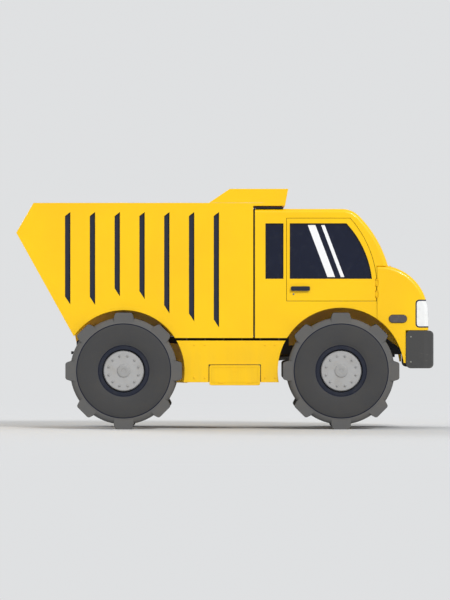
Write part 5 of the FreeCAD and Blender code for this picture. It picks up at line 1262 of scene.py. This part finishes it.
seat_cloth = woven("seat_cloth", "2B3040", "424A5E")
seat_piping = woven("seat_piping", "15181F", "262A33")
seat_shell = moulded("seat_shell", "23262D", 0.5)
scene.frame_set(1)
for side, hand in sides:
    centre_y = side * seat_middle_y
    y0, y1 = centre_y - seat_half, centre_y + seat_half
    seat_corners = (cushion_x[0], y0, cushion_z[0]), (cushion_x[1], y1, cushion_z[1])
    back_low, back_high = (back_x[0] + 0.012, y0, cushion_z[0]), (back_x[1], y1, seat_high.z)
    seat = pad("seat_cushion_" + hand, *seat_corners, 2)
    back = pad("seat_back_" + hand, back_low, back_high, 0)
    base = mesh_piece("seat_base_" + hand, seat_box, "chassis", seat_shell)
    piping("cushion_piping_" + hand, seat, *seat_corners, 2)
    piping("back_piping_" + hand, back, (0, y0, cushion_z[1]), back_high, 0)
    for piece in (seat, back, base):
        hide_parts("seats")


# Dashboard, steering wheel and controls
# A moulded dashboard with a hooded pair of dials, and a wheel of rubber over a steel ring on a raked
# column. A gear lever with a ball knob and three hung pedals stand before the left seat.
dash_grey = moulded("dashboard_grey", "2F3238", 0.5)
rubber_black = moulded("steering_rubber", "202226", 0.42)
dress("dashboard", dash_grey, 0.004)
dress("steering_wheel", rubber_black, 0.002)
wheel_y, dash_high = sum(corner.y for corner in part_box("steering_wheel")) / 2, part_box("dashboard")[1]
dial_y, dial_z, dial_radius, hood_half = 0.075, dash_high.z + 0.045, 0.052, 0.155


def dial_face():
    """A dark dial with a ring of short pale marks and a red hub."""
    face = Finish("dial_face")
    _, y, z = face.axes()
    out, up = abs(y - wheel_y) - dial_y, z - dial_z
    away = (out * out + up * up) ** 0.5
    turn = up.maths("ARCTAN2", up, out) / 0.3927
    mark = (abs(turn.maths("FRACT", turn + 8.0) - 0.5) < 0.08) * (away > 0.040) * (away < 0.050)
    smudge = face.noise(60.0, 3.0)
    shade = face.mix(away < 0.008, face.mix(mark, "14161A", "E8E8E2"), "9A1E14")
    return face.shade(face.mix(smudge * 0.1, shade, "77746E"), smudge * 0.1 + 0.3, smudge, 0.0002)


def hood(shape):
    arch = [(wheel_y + hood_half * c, dash_high.z + 0.028 + 0.075 * s) for c, s in circle(1.0, 24, 0, 195)]
    arch += [(wheel_y + side * hood_half, dash_high.z - 0.01) for side in (-1, 1)]
    slab(shape, arch, dash_high.x - 0.18, dash_high.x - 0.075, "YZ", 0.006)


def dials(shape):
    for side in (-1, 1):
        centre = (dash_high.x - 0.179, wheel_y + side * dial_y, dial_z)
        lathe(shape, [(0.0, dial_radius), (-0.004, dial_radius)], centre, "X", 32)


def levers(shape):
    """The gear lever in its boot, and three hung pedals."""
    low = cab_floor_z
    lathe(shape, [(-0.002, 0.055), (0.012, 0.050), (0.055, 0.022), (0.06, 0.011), (0.30, 0.008),
                  (0.305, 0.012), (0.315, 0.022), (0.330, 0.026), (0.345, 0.022), (0.353, 0.010),
                  (0.355, 0.0)], (1.72, 0.10, low), "Z", 24)
    for y in (0.40, 0.52, 0.64):
        slab(shape, [(1.93, low + 0.05), (1.945, low + 0.045), (1.975, low + 0.13), (1.96, low + 0.135)],
             y - 0.035, y + 0.035, "XZ", 0.004)
        slab(shape, [(1.955, low + 0.10), (1.967, low + 0.10), (2.03, low + 0.30), (2.018, low + 0.30)],
             y - 0.008, y + 0.008, "XZ", 0.002)


for name, maker, material in (("dial_hood", hood, dash_grey), ("dials", dials, dial_face()),
                              ("lever_and_pedals", levers, rubber_black)):
    mesh_piece(name, maker, "chassis", material)
